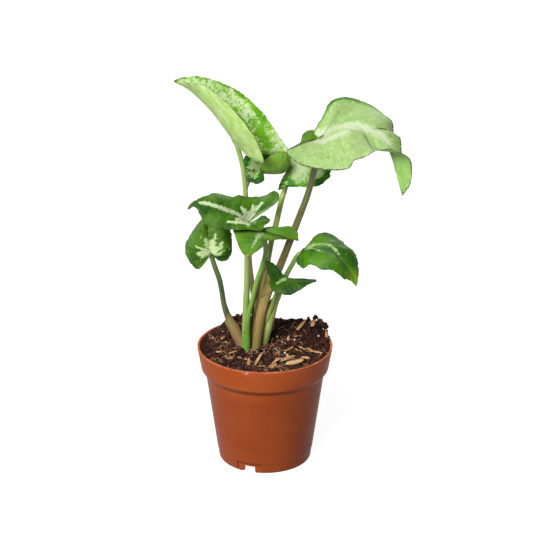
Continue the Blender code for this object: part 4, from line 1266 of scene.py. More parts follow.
LOOKS = {
    "tall_left": {
        "slot": "pale_leaf", "base": 0.43, "rim_fade": 3.2, "rim_drop": 0.08, "fray": 0.7, "blotch": 1.2,
        "speckle": 0.9, "force": 0.1, "green": 0.2, "lit": 0.8, "vein_tint": 0.12, "spill": 2.2,
        "margin_width": 0.35, "tip": ((120, 96, 60), 2.5),
        "pale_strokes": (
            (((0.35, 0.95), (0.5, 0.86), (0.5, 0.74), (0.6, 0.66), (0.68, 0.58)), 2.0, 2.6),
            (((0.9, 0.8), (0.88, 0.7), (0.82, 0.62), (0.78, 0.55)), 1.8, 2.2),
            (((0.68, 0.58), (0.6, 0.53)), 2.4, 1.8),
            (((0.98, 0.4), (0.95, 0.34), (0.9, 0.28), (0.84, 0.24)), 2.6, 3.2),
            (((0.72, 0.16), (0.6, 0.1)), 2.0, 2.0),
        ),
        "green_strokes": (
            (((0.98, 0.78), (0.97, 0.7), (0.96, 0.62), (0.92, 0.52), (0.86, 0.46)), 1.2, 2.6),
            (((0.5, 0.61), (0.48, 0.56), (0.46, 0.5)), 2.0, 1.3),
            (((0.62, 0.43), (0.64, 0.37), (0.68, 0.31)), 2.8, 2.2),
            (((0.68, 0.49), (0.72, 0.43), (0.7, 0.38), (0.66, 0.33)), 2.6, 2.2),
            (((0.5, 0.22), (0.7, 0.2), (0.88, 0.2)), 2.0, 1.2),
        ),
    },
    "broad_right": {
        "slot": "pale_leaf", "base": 0.46, "rim_fade": 2.6, "rim_drop": 0.34, "rim_side": -1, "fray": 0.12,
        "blotch": 0.3, "speckle": 0.3, "force": 0.18, "relief": 0.35, "vein_tint": 0.16, "scallop": 0.55,
        "spill": 2.0, "margin_width": 1.0, "tip": ((110, 150, 70), 4.0),
        "pale_strokes": (
            (
                ((-0.05, 0.34), (-0.1, 0.42), (-0.04, 0.5), (0.06, 0.56), (0.06, 0.64), (0.0, 0.7),
                 (-0.04, 0.77)),
                5.2, 2.4,
            ),
            (((0.15, 0.3), (0.22, 0.42), (0.26, 0.54)), 3.4, 3.0),
        ),
    },
    "back_right": {
        "slot": "pale_leaf", "base": 0.6, "rim_fade": 4.6, "rim_drop": 0.5, "fray": 0.3, "blotch": 1.0,
        "speckle": 1.3, "vein_tint": 0.12, "scallop": 0.7, "spill": 2.0, "margin_width": 0.4,
        "tip": ((60, 90, 30), 2.0),
        "pale_strokes": ((((0, 0.4), (-0.3, 0.55), (-0.2, 0.7)), 4.0, 3.0),),
        "green_strokes": (
            (((-0.9, 0.72), (-0.95, 0.64), (-0.95, 0.56)), 2.6, 2.4),
            (((-0.1, 0.8), (-0.3, 0.82)), 2.0, 2.0),
        ),
        "plain_strokes": ((((-1, 0.3), (-0.8, 0.24), (-0.6, 0.16)), 8.0, 8.0),),
    },
    "back_middle": {
        "base": 0.06, "fray": 0.9, "blotch": 1.0, "speckle": 1.6, "vein_tint": 0.1, "spill": 2.2,
        "margin_width": 0.35, "tip": ((110, 74, 42), 1.0),
        "pale_strokes": (
            (((0, 0.4), (-0.2, 0.43), (-0.4, 0.4)), 3.4, 2.2),
            (((0, 0.4), (-0.45, 0.22)), 2.4, 1.2),
            (((0, 0.4), (-0.27, 0.52)), 3.0, 1.8),
            (((0, 0.4), (0.35, 0.3), (0.42, 0.22)), 2.2, 1.2),
        ),
    },
    "low_left": {
        "base": 0.0, "fray": 1.1, "blotch": 1.2, "speckle": 0.7, "vein_tint": 0.07, "scallop": 0.7,
        "spill": 1.0, "tip": ((104, 84, 44), 2.0),
        "pale_strokes": (
            (((0, 0.41), (-0.04, 0.55), (-0.06, 0.65), (-0.04, 0.77), (0.06, 0.89)), 2.2, 1.0),
            (((0, 0.405), (0.25, 0.42)), 4.2, 3.4),
            (((0, 0.405), (0.4, 0.435), (0.6, 0.46)), 3.0, 0.9),
            (((0.4, 0.43), (0.55, 0.41), (0.68, 0.39)), 1.4, 0.7),
            (((0.05, 0.45), (0.24, 0.49), (0.42, 0.55)), 2.0, 0.8),
            (((0, 0.41), (-0.4, 0.44), (-0.7, 0.46)), 2.8, 2.0),
            (((-0.05, 0.44), (-0.3, 0.49), (-0.45, 0.54)), 3.4, 1.2),
            (((-0.6, 0.46), (-0.66, 0.55), (-0.68, 0.62)), 1.6, 0.7),
        ),
    },
    "front": {
        "base": 0.1, "fray": 0.8, "blotch": 0.6, "speckle": 0.7, "force": 0.3, "vein_tint": 0.12,
        "scallop": 0.3, "spill": 2.6, "margin_width": 0.5, "tip": ((222, 168, 84), 1.8),
        "pale_strokes": ((((0.0, 0.44), (0.0, 0.6), (-0.01, 0.76), (-0.03, 0.84)), 1.5, 0.4),),
        "plain_strokes": ((((-0.6, 0.52), (-0.75, 0.46), (-0.9, 0.43), (-1, 0.41)), 2.0, 2.2),),
    },
    "lowest_left": {
        "fray": 1.8, "blotch": 1.4, "speckle": 0.9, "vein_tint": 0.07, "scallop": 0.4, "margin_width": 0.25,
        "tip": ((70, 90, 36), 1.0),
        "pale_strokes": (
            (((0, 0.44), (-0.05, 0.52), (-0.13, 0.6), (-0.18, 0.65)), 3.0, 0.9),
            (((0, 0.5), (0.21, 0.6), (0.34, 0.66)), 2.2, 0.7),
            (((0, 0.45), (0.4, 0.46), (0.56, 0.53)), 2.6, 0.7),
            (((0, 0.43), (0.3, 0.38), (0.4, 0.36)), 2.0, 1.0),
            (((0, 0.45), (-0.32, 0.445), (-0.6, 0.44)), 2.4, 0.8),
            (((-0.1, 0.46), (-0.42, 0.53)), 2.0, 0.7),
            (((-0.1, 0.43), (-0.42, 0.38)), 2.0, 0.8),
            (((0.3, 0.4), (0.62, 0.42)), 0.8, 0.4),
            (((-0.3, 0.5), (-0.62, 0.56)), 0.8, 0.4),
        ),
        # This green stroke is painted shade: it darkens the blade's left part, which faces the lamp.
        "green_strokes": ((((-0.8, 0.76), (-0.86, 0.66), (-0.8, 0.5), (-0.75, 0.4)), 3.5, 3.5),),
    },
    "low_right": {
        "base": 0.1, "fray": 1.2, "blotch": 0.9, "speckle": 1.1, "force": 0.24, "vein_tint": 0.06,
        # The wide yellow-green tip is painted light on the blade's shaded right end, and the green strokes
        # are painted shade on the lit lower lobe and top.
        "scallop": 0.7, "margin_width": 0.25, "tip": ((140, 186, 36), 12.0),
        "pale_strokes": (
            (((-0.02, 0.43), (-0.22, 0.42), (-0.35, 0.45), (-0.25, 0.55)), 1.3, 1.1),
            (((-0.25, 0.55), (-0.18, 0.63), (-0.14, 0.7)), 1.1, 0.4),
            (((0, 0.45), (0.18, 0.54), (0.33, 0.585)), 0.6, 0.4),
        ),
        "green_strokes": (
            (((0.5, 0.42), (0.7, 0.5), (0.7, 0.6)), 4.0, 3.0),
            (((-0.7, 0.4), (-0.66, 0.52)), 3.0, 2.4),
        ),
    },
    "lowest_right": {
        "fray": 1.0, "blotch": 0.5, "speckle": 0.6, "vein_tint": 0.05, "spill": 1.5,
        "tip": ((64, 70, 34), 3.0),
        "pale_strokes": ((((0.31, 0.36), (0.07, 0.465), (-0.19, 0.525)), 1.2, 0.8),),
    },
}


def stroke_depth(leaf, points, stroke):
    """How deep each point lies in a stroke: 1 on its middle line, 0 at its half width, less outside."""
    places, start, end = stroke
    middle = along_line(np.array(places, float), np.linspace(0, 1, 30))
    gap, share = distance_to(points, blade_points(leaf, middle[:, 0], middle[:, 1]))
    return 1.0 - gap / (start + (end - start) * share)


def pale_field(leaf, look, points, across, rim):
    """How pale each point of a blade is, before the shader frays it. Cream starts at about 0.5."""
    near_margin = np.clip(1 - rim / look["rim_fade"], 0, 1) ** 1.3
    if look["rim_side"]:
        near_margin = near_margin * np.clip(across * look["rim_side"] * 3, 0, 1)
    field = look["base"] - look["rim_drop"] * near_margin
    for stroke in look["pale_strokes"]:
        field = np.maximum(field, 0.5 + look["force"] * stroke_depth(leaf, points, stroke))
    for stroke in look["green_strokes"]:
        field = field - look["green"] * np.clip(stroke_depth(leaf, points, stroke) * 1.6, 0, 1)
    return field


def plain_patches(leaf, look, points):
    """Where the blade is plain and looks like its underside, as its curled parts do."""
    patches = np.zeros(len(points))
    for stroke in look["plain_strokes"]:
        patches = np.maximum(patches, np.clip(3 * stroke_depth(leaf, points, stroke), 0, 1))
    return patches


# %% [markdown]
# ## Leaf finishes
# Three materials dress a blade: its upper side, its underside and the cut edge between them. The upper side
# mixes the marbling with lighter veins and the dry margin, and has the soft wax gloss of a healthy leaf. A
# net of fine veins is added as a bump. A leaf is thin enough for light to spread inside it, so it gets a
# little subsurface scattering, which keeps its shaded side from going grey.

# %% Leaf finish helpers
VEIN_NET_SCALE = 520.0
LEAF_SPECULAR = 0.12
SOFTNESS = {"Subsurface Weight": 0.12, "Subsurface Radius": (0.4, 0.8, 0.15), "Subsurface Scale": 0.001}


def leaf_common(tree, shader, colour, look, place):
    """Tip, margin, fine net of veins, gloss and softness, which the upper side and the underside share."""
    rim = read_number(tree, "rim")
    tipped = tinted(tree, read_number(tree, "tip"), colour, look["tip"][0])
    margin = use_group(tree, dry_margin, {"Rim": rim, "Place": place, "Width": look["margin_width"]})
    edged = tinted(tree, margin["Mask"], tipped, look["margin"])
    inputs = {"Vector": place, "Scale": VEIN_NET_SCALE}
    net = add_node(tree, "TexVoronoi", inputs, feature="DISTANCE_TO_EDGE")
    waxy = noise_at(tree, place, 420.0, 3.0)
    veins = bump_from(tree, remap(tree, net.outputs["Distance"], 0.0, 0.18), 0.00006, 0.5)
    wax = bump_from(tree, waxy, 0.0002, 0.25, veins)
    gloss = remap(tree, waxy, 0.3, 0.7, 0.46, 0.6)
    plug_in(tree, shader, {"Base Color": edged, "Normal": wax, "Roughness": gloss, **SOFTNESS})


def upper_colour(look, key):
    """A colour of the upper side. "lit" is the share of the light that reaches it in the photograph."""
    return (*[value / look["lit"] for value in screen_colour(*look[key])[:3]], 1.0)


def upper_finish(name, look):
    """The marbling, plain where the blade curls, with lighter veins."""
    material, tree, shader = new_surface(f"leaf_{name}_upper", 0.5, LEAF_SPECULAR)
    place = object_place(tree)
    inputs = {"Place": place, "Pale Field": read_number(tree, "pale")}
    inputs["Veinwise"] = read_vector(tree, "veinwise")
    for amount in ("fray", "blotch", "speckle"):
        inputs[amount.title()] = look[amount]
    for colour in ("deep", "bright", "middle", "pale"):
        inputs[colour.title()] = upper_colour(look, colour)
    marbled = use_group(tree, leaf_marbling, inputs)["Colour"]
    plain = tinted(tree, read_number(tree, "plain"), marbled, look["under"])
    vein_share = multiply(tree, read_number(tree, "vein"), look["vein_tint"])
    veined = mix_colours(tree, vein_share, plain, upper_colour(look, "pale"))
    leaf_common(tree, shader, veined, look, place)
    return material


def under_finish(name, look):
    """A duller green, streaked along the veins."""
    material, tree, shader = new_surface(f"leaf_{name}_under", 0.55, LEAF_SPECULAR)
    veinwise = stretched(tree, read_vector(tree, "veinwise"), (0.34, 0.1, 1.0))
    streaks = remap(tree, noise_at(tree, veinwise, 1.0, 4.0, 0.6, 0.6), 0.36, 0.64)
    under = screen_colour(*look["under"])
    streaked = tinted(tree, multiply(tree, streaks, 0.85), under, look["under_light"])
    veined = tinted(tree, multiply(tree, read_number(tree, "vein"), 0.25), streaked, look["under_light"])
    leaf_common(tree, shader, veined, look, object_place(tree))
    return material


def edge_finish(name, look):
    """The cut edge: the margin's brown, greener in places."""
    material, tree, shader = new_surface(f"leaf_{name}_edge", 0.6, 0.3)
    tone = cloudy(tree, object_place(tree), 500.0, look["margin"], look["under"])
    plug_in(tree, shader, {"Base Color": tone})
    return material


# %% [markdown]
# ## Building the blades
# The flat grid is bent by the formula. Each vertex then gets the numbers that the relief and the finish
# need: how far it is from the margin and from the veins, how pale, how plain, and how near the tip.

# %% Blade grid
BLADE_COLUMNS = 30
BLADE_ROWS = 150
FAR_FROM_VEINS = 9.0
MIDRIB_STEPS = 60


def bent_grid(leaf):
    """The grid bent into the blade, its points, and how far across and round the edge each one is."""
    bm = bmesh.new()
    across_layer = bm.verts.layers.float.new("across")
    rib_layer = bm.verts.layers.float.new("rib")
    bmesh.ops.create_grid(bm, x_segments=2 * BLADE_COLUMNS, y_segments=BLADE_ROWS, size=1)
    grid = np.array([vertex.co for vertex in bm.verts])
    across, rib = grid[:, 0], (grid[:, 1] + 1) / 2
    for vertex, place, a, r in zip(bm.verts, blade_points(leaf, across, rib), across, rib):
        vertex.co = place
        vertex[across_layer], vertex[rib_layer] = a, r
    bmesh.ops.remove_doubles(bm, verts=bm.verts, dist=0.02)
    bmesh.ops.dissolve_degenerate(bm, edges=bm.edges, dist=0.01)
    bm.normal_update()
    points = np.array([vertex.co for vertex in bm.verts])
    across = np.array([vertex[across_layer] for vertex in bm.verts])
    rib = np.array([vertex[rib_layer] for vertex in bm.verts])
    for key in ("across", "rib"):
        bm.verts.layers.float.remove(bm.verts.layers.float[key])
    return bm, points, across, rib


def vein_numbers(leaf, points):
    """How deep each point lies in a vein, how far it is from the nearest, and how high on the ridge."""
    vein, between = np.zeros(len(points)), np.full(len(points), FAR_FROM_VEINS)
    for line, start, end in vein_lines(leaf):
        gap, share = distance_to(points, line)
        width = start + (end - start) * share
        vein = np.maximum(vein, np.exp(-((gap / width) ** 2)) * (1 - 0.5 * share))
        between = np.minimum(between, gap)
    gap, share = distance_to(points, smooth_line(leaf["midrib"], MIDRIB_STEPS)[0])
    ridge = np.exp(-((gap / (1.1 - 0.6 * share)) ** 2)) * (1 - 0.75 * share)
    return vein, between, ridge


def rim_gap(leaf, points):
    """How far each point is from the margin. Where the stalk joins, the blade has none."""
    left, right = (distance_to(points, blade_edge(leaf, side)[0])[0] for side in ("left", "right"))
    stalk_gap = np.linalg.norm(points - np.array(leaf["midrib"][0]), axis=1)
    return np.minimum(left, right) + 4 * np.clip(1 - stalk_gap / 5, 0, 1)


# %% [markdown]
# Relief is added along the normals: grooves over the veins, swellings between them, and a gentle ruffle
# that grows towards the margin. The edge itself is pulled in by a few tenths of a millimetre at random, as
# a real edge is never a clean curve. No vertex may leave the box that the CAD blade has, give or take the
# spill of that leaf. Solidify gives the blade its thickness downwards, thicker under the midrib, where the
# real one has a ridge that stiffens it.

# %% Blades
BLADE_THIN = 0.4
RIDGE_THICK = 1.3
SWELLING, GROOVE, RUFFLE, SINK = 0.26, 0.18, 0.45, 0.1
LOW_MARGIN, HIGH_MARGIN = (0.6, 0.3, 0.4), (0.4, 0.3, 0.15)


def blade_limits(name, spill):
    """The box that a blade stays in: near its solid's own, and never outside the whole plant's."""
    low, high = (TO_FRAME.inverted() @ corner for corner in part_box("leaf_" + name))
    whole_low, whole_high = (TO_FRAME.inverted() @ corner for corner in cad_box)
    spread = Vector([spill] * 3)
    low, high = low + Vector(LOW_MARGIN) - spread, high - Vector(HIGH_MARGIN) + spread
    low.x, high.z = max(low.x, whole_low.x + LOW_MARGIN[0]), min(high.z, whole_high.z - HIGH_MARGIN[2])
    return low, high


def build_leaf(name, leaf, look, seed):
    bm, points, across, rib = bent_grid(leaf)
    rim = rim_gap(leaf, points)
    vein, between, ridge = vein_numbers(leaf, points)
    tip_gap = np.linalg.norm(points - np.array(leaf["midrib"][-1]), axis=1)
    kept = {
        "rim": rim,
        "vein": vein,
        "pale": pale_field(leaf, look, points, across, rim),
        "tip": np.clip(1.3 * (1 - tip_gap / look["tip"][1]), 0, 1),
        "plain": plain_patches(leaf, look, points),
    }
    length = np.where(across < 0, blade_edge(leaf, "left")[1], blade_edge(leaf, "right")[1])
    foot = blade_points(leaf, np.zeros(len(points)), rib)
    sideways = np.linalg.norm(points - foot, axis=1) * np.where(across < 0, -1, 1)

    layers = {key: bm.verts.layers.float.new(key) for key in kept}
    veinwise = bm.verts.layers.float_vector.new("veinwise")
    deform = bm.verts.layers.deform.verify()
    breadth = min(1, max(np.abs(sideways).max(), 1) / 14)
    limits = blade_limits(name, look["spill"])
    shift = Vector((seed * 17.0, seed * 5.0, 0))
    for number, vertex in enumerate(bm.verts):
        for key, layer in layers.items():
            vertex[layer] = kept[key][number]
        vertex[veinwise] = (sideways[number], rib[number] * length[number], 0)
        vertex[deform][0] = ridge[number]
        place = vertex.co + shift
        ruffle = noise.noise(place * 0.16) * 1.3 + noise.noise(place * 0.45) * 0.4
        edgeward = min(abs(across[number]), 1) ** 5 * breadth
        swell = SWELLING * (1 - math.exp(-((between[number] / 1.9) ** 2))) * min(1, rim[number] / 2)
        lift = look["relief"] * (swell - GROOVE * vein[number]) - SINK + RUFFLE * ruffle * edgeward
        inward = Vector(foot[number]) - vertex.co
        teeth = noise.noise(place * 0.55) + 0.6 * noise.noise(place * 1.3)
        if inward.length > 1:
            vertex.co += inward.normalized() * look["scallop"] * edgeward * (0.15 + teeth)
        vertex.co += vertex.normal * (lift + BLADE_THIN / 2)
        vertex.co = [min(max(v, low), high) for v, low, high in zip(vertex.co, *limits)]
    materials = [upper_finish(name, look), under_finish(name, look), edge_finish(name, look)]
    blade = add_piece("blade_" + name, bm, materials, ["leaf_" + name])
    blade.vertex_groups.new(name="ridge")
    thickness = blade.modifiers.new("Thickness", "SOLIDIFY")
    thickness.thickness = RIDGE_THICK * MM
    thickness.offset = -1
    thickness.vertex_group = "ridge"
    thickness.thickness_vertex_group = BLADE_THIN / RIDGE_THICK
    thickness.material_offset = 1
    thickness.material_offset_rim = 2


for seed, (name, leaf) in enumerate(LEAVES.items(), start=1):
    colours = dict(zip(COLOUR_NAMES, LEAF_COLOURS[name]))
    build_leaf(name, leaf, {**DEFAULT_LOOK, **colours, **LOOKS[name]}, seed)

# %% [markdown]
# ## Stalks
# Each leaf stands on its own stalk, round with faint lengthwise ribs. A stalk is a grid rolled into a tube
# along its route, so that its finish can follow the fibres. The routes follow the CAD shoots to within
# about 2 mm, and each runs on under its blade for a few millimetres, thinning into the midrib's ridge,
# which is how the two grow together on the plant.

# %% Stalk tables
# Rows are x, y, z and radius in millimetres. SHOOTS says which stalks stand for each CAD shoot
STALKS = {
    "lowest_left": (
        (-14, 6, 68.5, 2.1), (-17.5, 5, 78.5, 2.4), (-21.2, 4.5, 86, 2.1), (-24, 4, 95, 1.6),
        (-25.4, 3.5, 104.5, 1.55), (-26.8, 3.5, 112, 1.55), (-29.4, 3.5, 120, 1.5),
    ),
    "low_left": (
        (-12, 1.5, 69.5, 2), (-11.5, 0, 81, 2.1), (-11, -1.5, 100.5, 1.9), (-10.5, -2.5, 114, 1.75),
        (-10.5, -3.5, 125.5, 1.6), (-10.5, -4.5, 138, 1.4),
    ),
    "front": (
        (-11, 1, 69.5, 1.9), (-10.5, -1, 81.5, 1.8), (-9.5, -3, 92, 1.5), (-7.5, -5, 102, 1.4),
        (-4.5, -7, 115.5, 1.4), (-1.5, -8.5, 125, 1.5), (0.5, -9.5, 135.5, 1.5),
    ),
    "broad_right": (
        (-5.5, 2.5, 68.5, 2.4), (-4.4, 3, 82.5, 2.6), (-0.9, 3, 99, 2.5), (3.1, 3, 107, 2.5),
        (7.8, 3, 118, 2.35), (12, 3, 129, 2.2), (18.2, 3, 146.5, 2.0), (24.5, 3, 164.5, 1.85),
        (28.7, 3, 181.5, 1.75),
    ),
    "tall_left": (
        (-6, 4.5, 68.5, 2.2), (-6, 4.5, 82, 2.2), (-6, 4.5, 95, 1.8), (-8, 4.5, 111, 1.6),
        (-9, 4, 122.5, 1.5), (-10, 4, 142.5, 1.45), (-11, 4, 161, 1.45), (-12.5, 3.5, 180, 1.4),
    ),
    "back_right": (
        (-5.5, 3.5, 68.5, 2), (-4.5, 5, 82, 2.2), (-2.5, 6, 100.5, 2), (1.6, 6.5, 121.5, 1.6),
        (4, 8, 135, 1.65), (6.7, 9.5, 145.5, 1.7), (9.6, 12, 158, 1.65), (11.4, 14, 163.5, 1.6),
        (13.5, 17, 172, 1.5),
    ),
    "back_middle": (
        (-6, 5, 68, 1.8), (-6, 6, 81.5, 1.6), (-7, 7, 100.5, 1.3), (-9, 9, 120.5, 1.2), (-10, 10, 140, 1.1),
        (-11, 12, 158, 1), (-10.5, 13, 166.5, 1),
    ),
    "low_right": (
        (-3, 8, 68, 2), (1, 6, 81.5, 2.2), (4, 4.5, 92, 2.1), (7, 1.5, 102.5, 1.8), (12, -0.5, 115, 1.5),
        (16, -1.5, 123.5, 1.4), (19, -2, 129, 1.35),
    ),
    "lowest_right": (
        (-3, 7.5, 68.5, 1.7), (0.5, 4.5, 82, 1.6), (3.5, 1.5, 93, 1.4), (6, -3, 104, 1.15),
        (7.5, -8, 111.5, 1),
    ),
}
SHOOTS = {
    "shoot_left": ("lowest_left",),
    "shoot_green": ("low_left", "front"),
    "shoot_sheathed": ("broad_right", "tall_left", "back_right", "back_middle"),
    "shoot_right": ("low_right", "lowest_right"),
}
# A stalk's colours from the soil up, as (share of its length, colour)
STALK_COLOURS = {
    "lowest_left": ((0.0, (150, 120, 80)), (0.3, (84, 92, 28)), (0.45, (54, 76, 12)), (1.0, (62, 94, 16))),
    "low_left": (
        (0.0, (160, 180, 92)), (0.3, (154, 182, 94)), (0.7, (158, 188, 98)), (1.0, (148, 182, 90)),
    ),
    # The front stalk's upper colours are lightened, which paints light where the leaves above shade it.
    "front": (
        (0.0, (118, 178, 54)), (0.25, (112, 172, 54)), (0.5, (128, 180, 60)), (0.75, (122, 172, 56)),
        (1.0, (124, 170, 58)),
    ),
    "broad_right": (
        (0.0, (160, 146, 78)), (0.4, (160, 142, 72)), (0.5, (140, 128, 58)), (0.62, (96, 94, 36)),
        (1.0, (68, 74, 20)),
    ),
    # The tall left stalk's tan middle is lightened, which paints light where the stalk beside it shades it.
    "tall_left": (
        (0.0, (190, 166, 106)), (0.42, (238, 202, 136)), (0.55, (180, 188, 102)), (1.0, (146, 190, 88)),
    ),
    # The back right stalk's upper greens are lightened and yellowed, which paints light where leaves shade
    # it.
    "back_right": (
        (0.0, (170, 162, 96)), (0.42, (172, 166, 98)), (0.54, (166, 192, 80)), (0.8, (170, 202, 80)),
        (1.0, (156, 188, 76)),
    ),
    "back_middle": ((0.0, (150, 150, 86)), (0.5, (130, 150, 76)), (1.0, (110, 150, 66))),
    "low_right": (
        (0.0, (150, 176, 96)), (0.4, (146, 172, 88)), (0.7, (118, 150, 62)), (1.0, (104, 144, 56)),
    ),
    "lowest_right": ((0.0, (150, 176, 96)), (0.5, (140, 168, 84)), (1.0, (120, 160, 76))),
}

# %% [markdown]
# A tube needs two directions across its route at every row. They are carried along from row to row and
# turned only as much as the route bends, so the tube never twists.


# %% Stalk helpers
def frames_along(route):
    """Two cross directions for each row of a route, turned as little as possible from row to row."""
    heading = unit(np.gradient(route[:, :3], axis=0))
    sides, side = [], np.array([1.0, 0.0, 0.0])
    for direction in heading:
        side = side - direction * (side @ direction)
        side = side / np.linalg.norm(side)
        sides.append(side)
    sides = np.array(sides)
    return sides, np.cross(heading, sides)


def upper_side(leaf):
    """The way the blade's upper side faces where the stalk meets it."""
    midrib = np.array(leaf["midrib"], float)
    middle = np.array([0.5])
    across = blade_side(leaf, "right", middle, middle) - blade_side(leaf, "left", middle, middle)
    return unit(np.cross(across[0], midrib[1] - midrib[0]))


ROOTED_DEPTH = 9
RUN_UNDER_BLADE = 7.0
# Share of that run, how far the stalk's middle lies under the blade, and how thick it still is, in radii
JOIN_ROWS = ((0.0, 0.75, 0.95), (0.45, 0.75, 0.6), (1.0, 0.45, 0.3))
TUBE_STEP = 0.9
TUBE_SIDES = 24


def stalk_route(name):
    """A stalk's rows from inside the soil to under the blade, and on along the midrib."""
    rows, leaf = STALKS[name], LEAVES[name]
    x, y, z, radius = rows[0]
    up = upper_side(leaf)
    midrib, length = smooth_line(leaf["midrib"], 100)
    last = rows[-1][3]
    run = min(RUN_UNDER_BLADE, 0.3 * length)
    route = [(x, y, z - ROOTED_DEPTH, radius * 0.8), *rows]
    for share, sink, thick in JOIN_ROWS:
        place = along_line(midrib, np.array([share * run / length]))[0] - up * sink * last
        route.append((*place, last * thick))
    length = smooth_line(route, 2)[1]
    return smooth_line(route, int(length / TUBE_STEP))[0]


def build_tube(name, route, material, replaces):
    """A grid rolled round the route, closed at both ends, with its fibre direction kept."""
    side, other = frames_along(route)
    bm = bmesh.new()
    fibre = bm.verts.layers.float_vector.new("fibre")
    share = bm.verts.layers.float.new("share")
    bmesh.ops.create_grid(bm, x_segments=TUBE_SIDES, y_segments=len(route) - 1, size=1)
    step = np.concatenate([[0], np.cumsum(np.linalg.norm(np.diff(route[:, :3], axis=0), axis=1))])
    for vertex in bm.verts:
        turn = math.pi * (vertex.co.x + 1)
        row = round((vertex.co.y + 1) / 2 * (len(route) - 1))
        uneven = 0.03 * noise.noise(Vector((route[row][2] * 0.12, turn * 0.2, len(name))))
        radius = route[row][3] * (1 + 0.025 * math.cos(7 * turn) + uneven)
        arm = side[row] * math.cos(turn) + other[row] * math.sin(turn)
        vertex[fibre] = (math.cos(turn) * route[row][3], math.sin(turn) * route[row][3], step[row])
        vertex[share] = step[row] / step[-1]
        vertex.co = route[row][:3] + arm * radius
    bmesh.ops.remove_doubles(bm, verts=bm.verts, dist=0.005)
    bmesh.ops.holes_fill(bm, edges=[edge for edge in bm.edges if edge.is_boundary], sides=TUBE_SIDES + 2)
    bmesh.ops.recalc_face_normals(bm, faces=bm.faces)
    add_piece(name, bm, [material], replaces)


def stalk_finish(name, colours, line_colour, line_strength=0.35, roughness=0.42, dry_edge=None):
    """Satin skin whose colour changes up the stalk, with fibre lines. dry_edge is a sheath's margin."""
    material, tree, shader = new_surface(name, roughness, 0.4)
    ramp = add_node(tree, "ValToRGB", {"Fac": read_number(tree, "share")})
    elements = ramp.color_ramp.elements
    while len(elements) < len(colours):
        elements.new(0.5)
    for element, (share, colour) in zip(elements, colours):
        element.position = share
        element.color = screen_colour(*colour)
    fibre = read_vector(tree, "fibre")
    lines = use_group(tree, lengthwise_fibre, {"Fibre": fibre, "Fineness": 2.2})
    broad = use_group(tree, lengthwise_fibre, {"Fibre": fibre, "Fineness": 0.9})
    lined = tinted(tree, multiply(tree, lines["Mask"], line_strength), ramp.outputs["Color"], line_colour)
    toned = tinted(tree, multiply(tree, broad["Mask"], 0.14), lined, (206, 206, 140))
    if dry_edge:
        inputs = {"Rim": read_number(tree, "rim"), "Place": object_place(tree), "Width": 0.9}
        toned = tinted(tree, use_group(tree, dry_margin, inputs)["Mask"], toned, dry_edge)
    ribs = bump_from(tree, lines["Height"], 0.00025, 0.7)
    plug_in(tree, shader, {"Base Color": toned, "Normal": ribs})
    return material

# %% [markdown]
# The lines along a stalk are a darker shade of the colour at its top, and four stalks share the dry
# sheath.

# %% Build the stalks
LINE_SHADE = 0.72
for shoot, names in SHOOTS.items():
    for name in names:
        darker = tuple(int(LINE_SHADE * v) for v in STALK_COLOURS[name][-1][1])
        finish = stalk_finish("stalk_" + name, STALK_COLOURS[name], darker)
        build_tube("stalk_" + name, stalk_route(name), finish, [shoot])

# %% [markdown]
# ## Sheaths
# Low down, each stalk widens into a thin sheath that wraps the next one. Old sheaths dry to the colour of
# paper. A sheath is a grid too: bent round its own centre line, open at the back or side, with a slanted
# top that ends in a point, and edges that curl away a little. Solidify makes it a skin of real thickness.

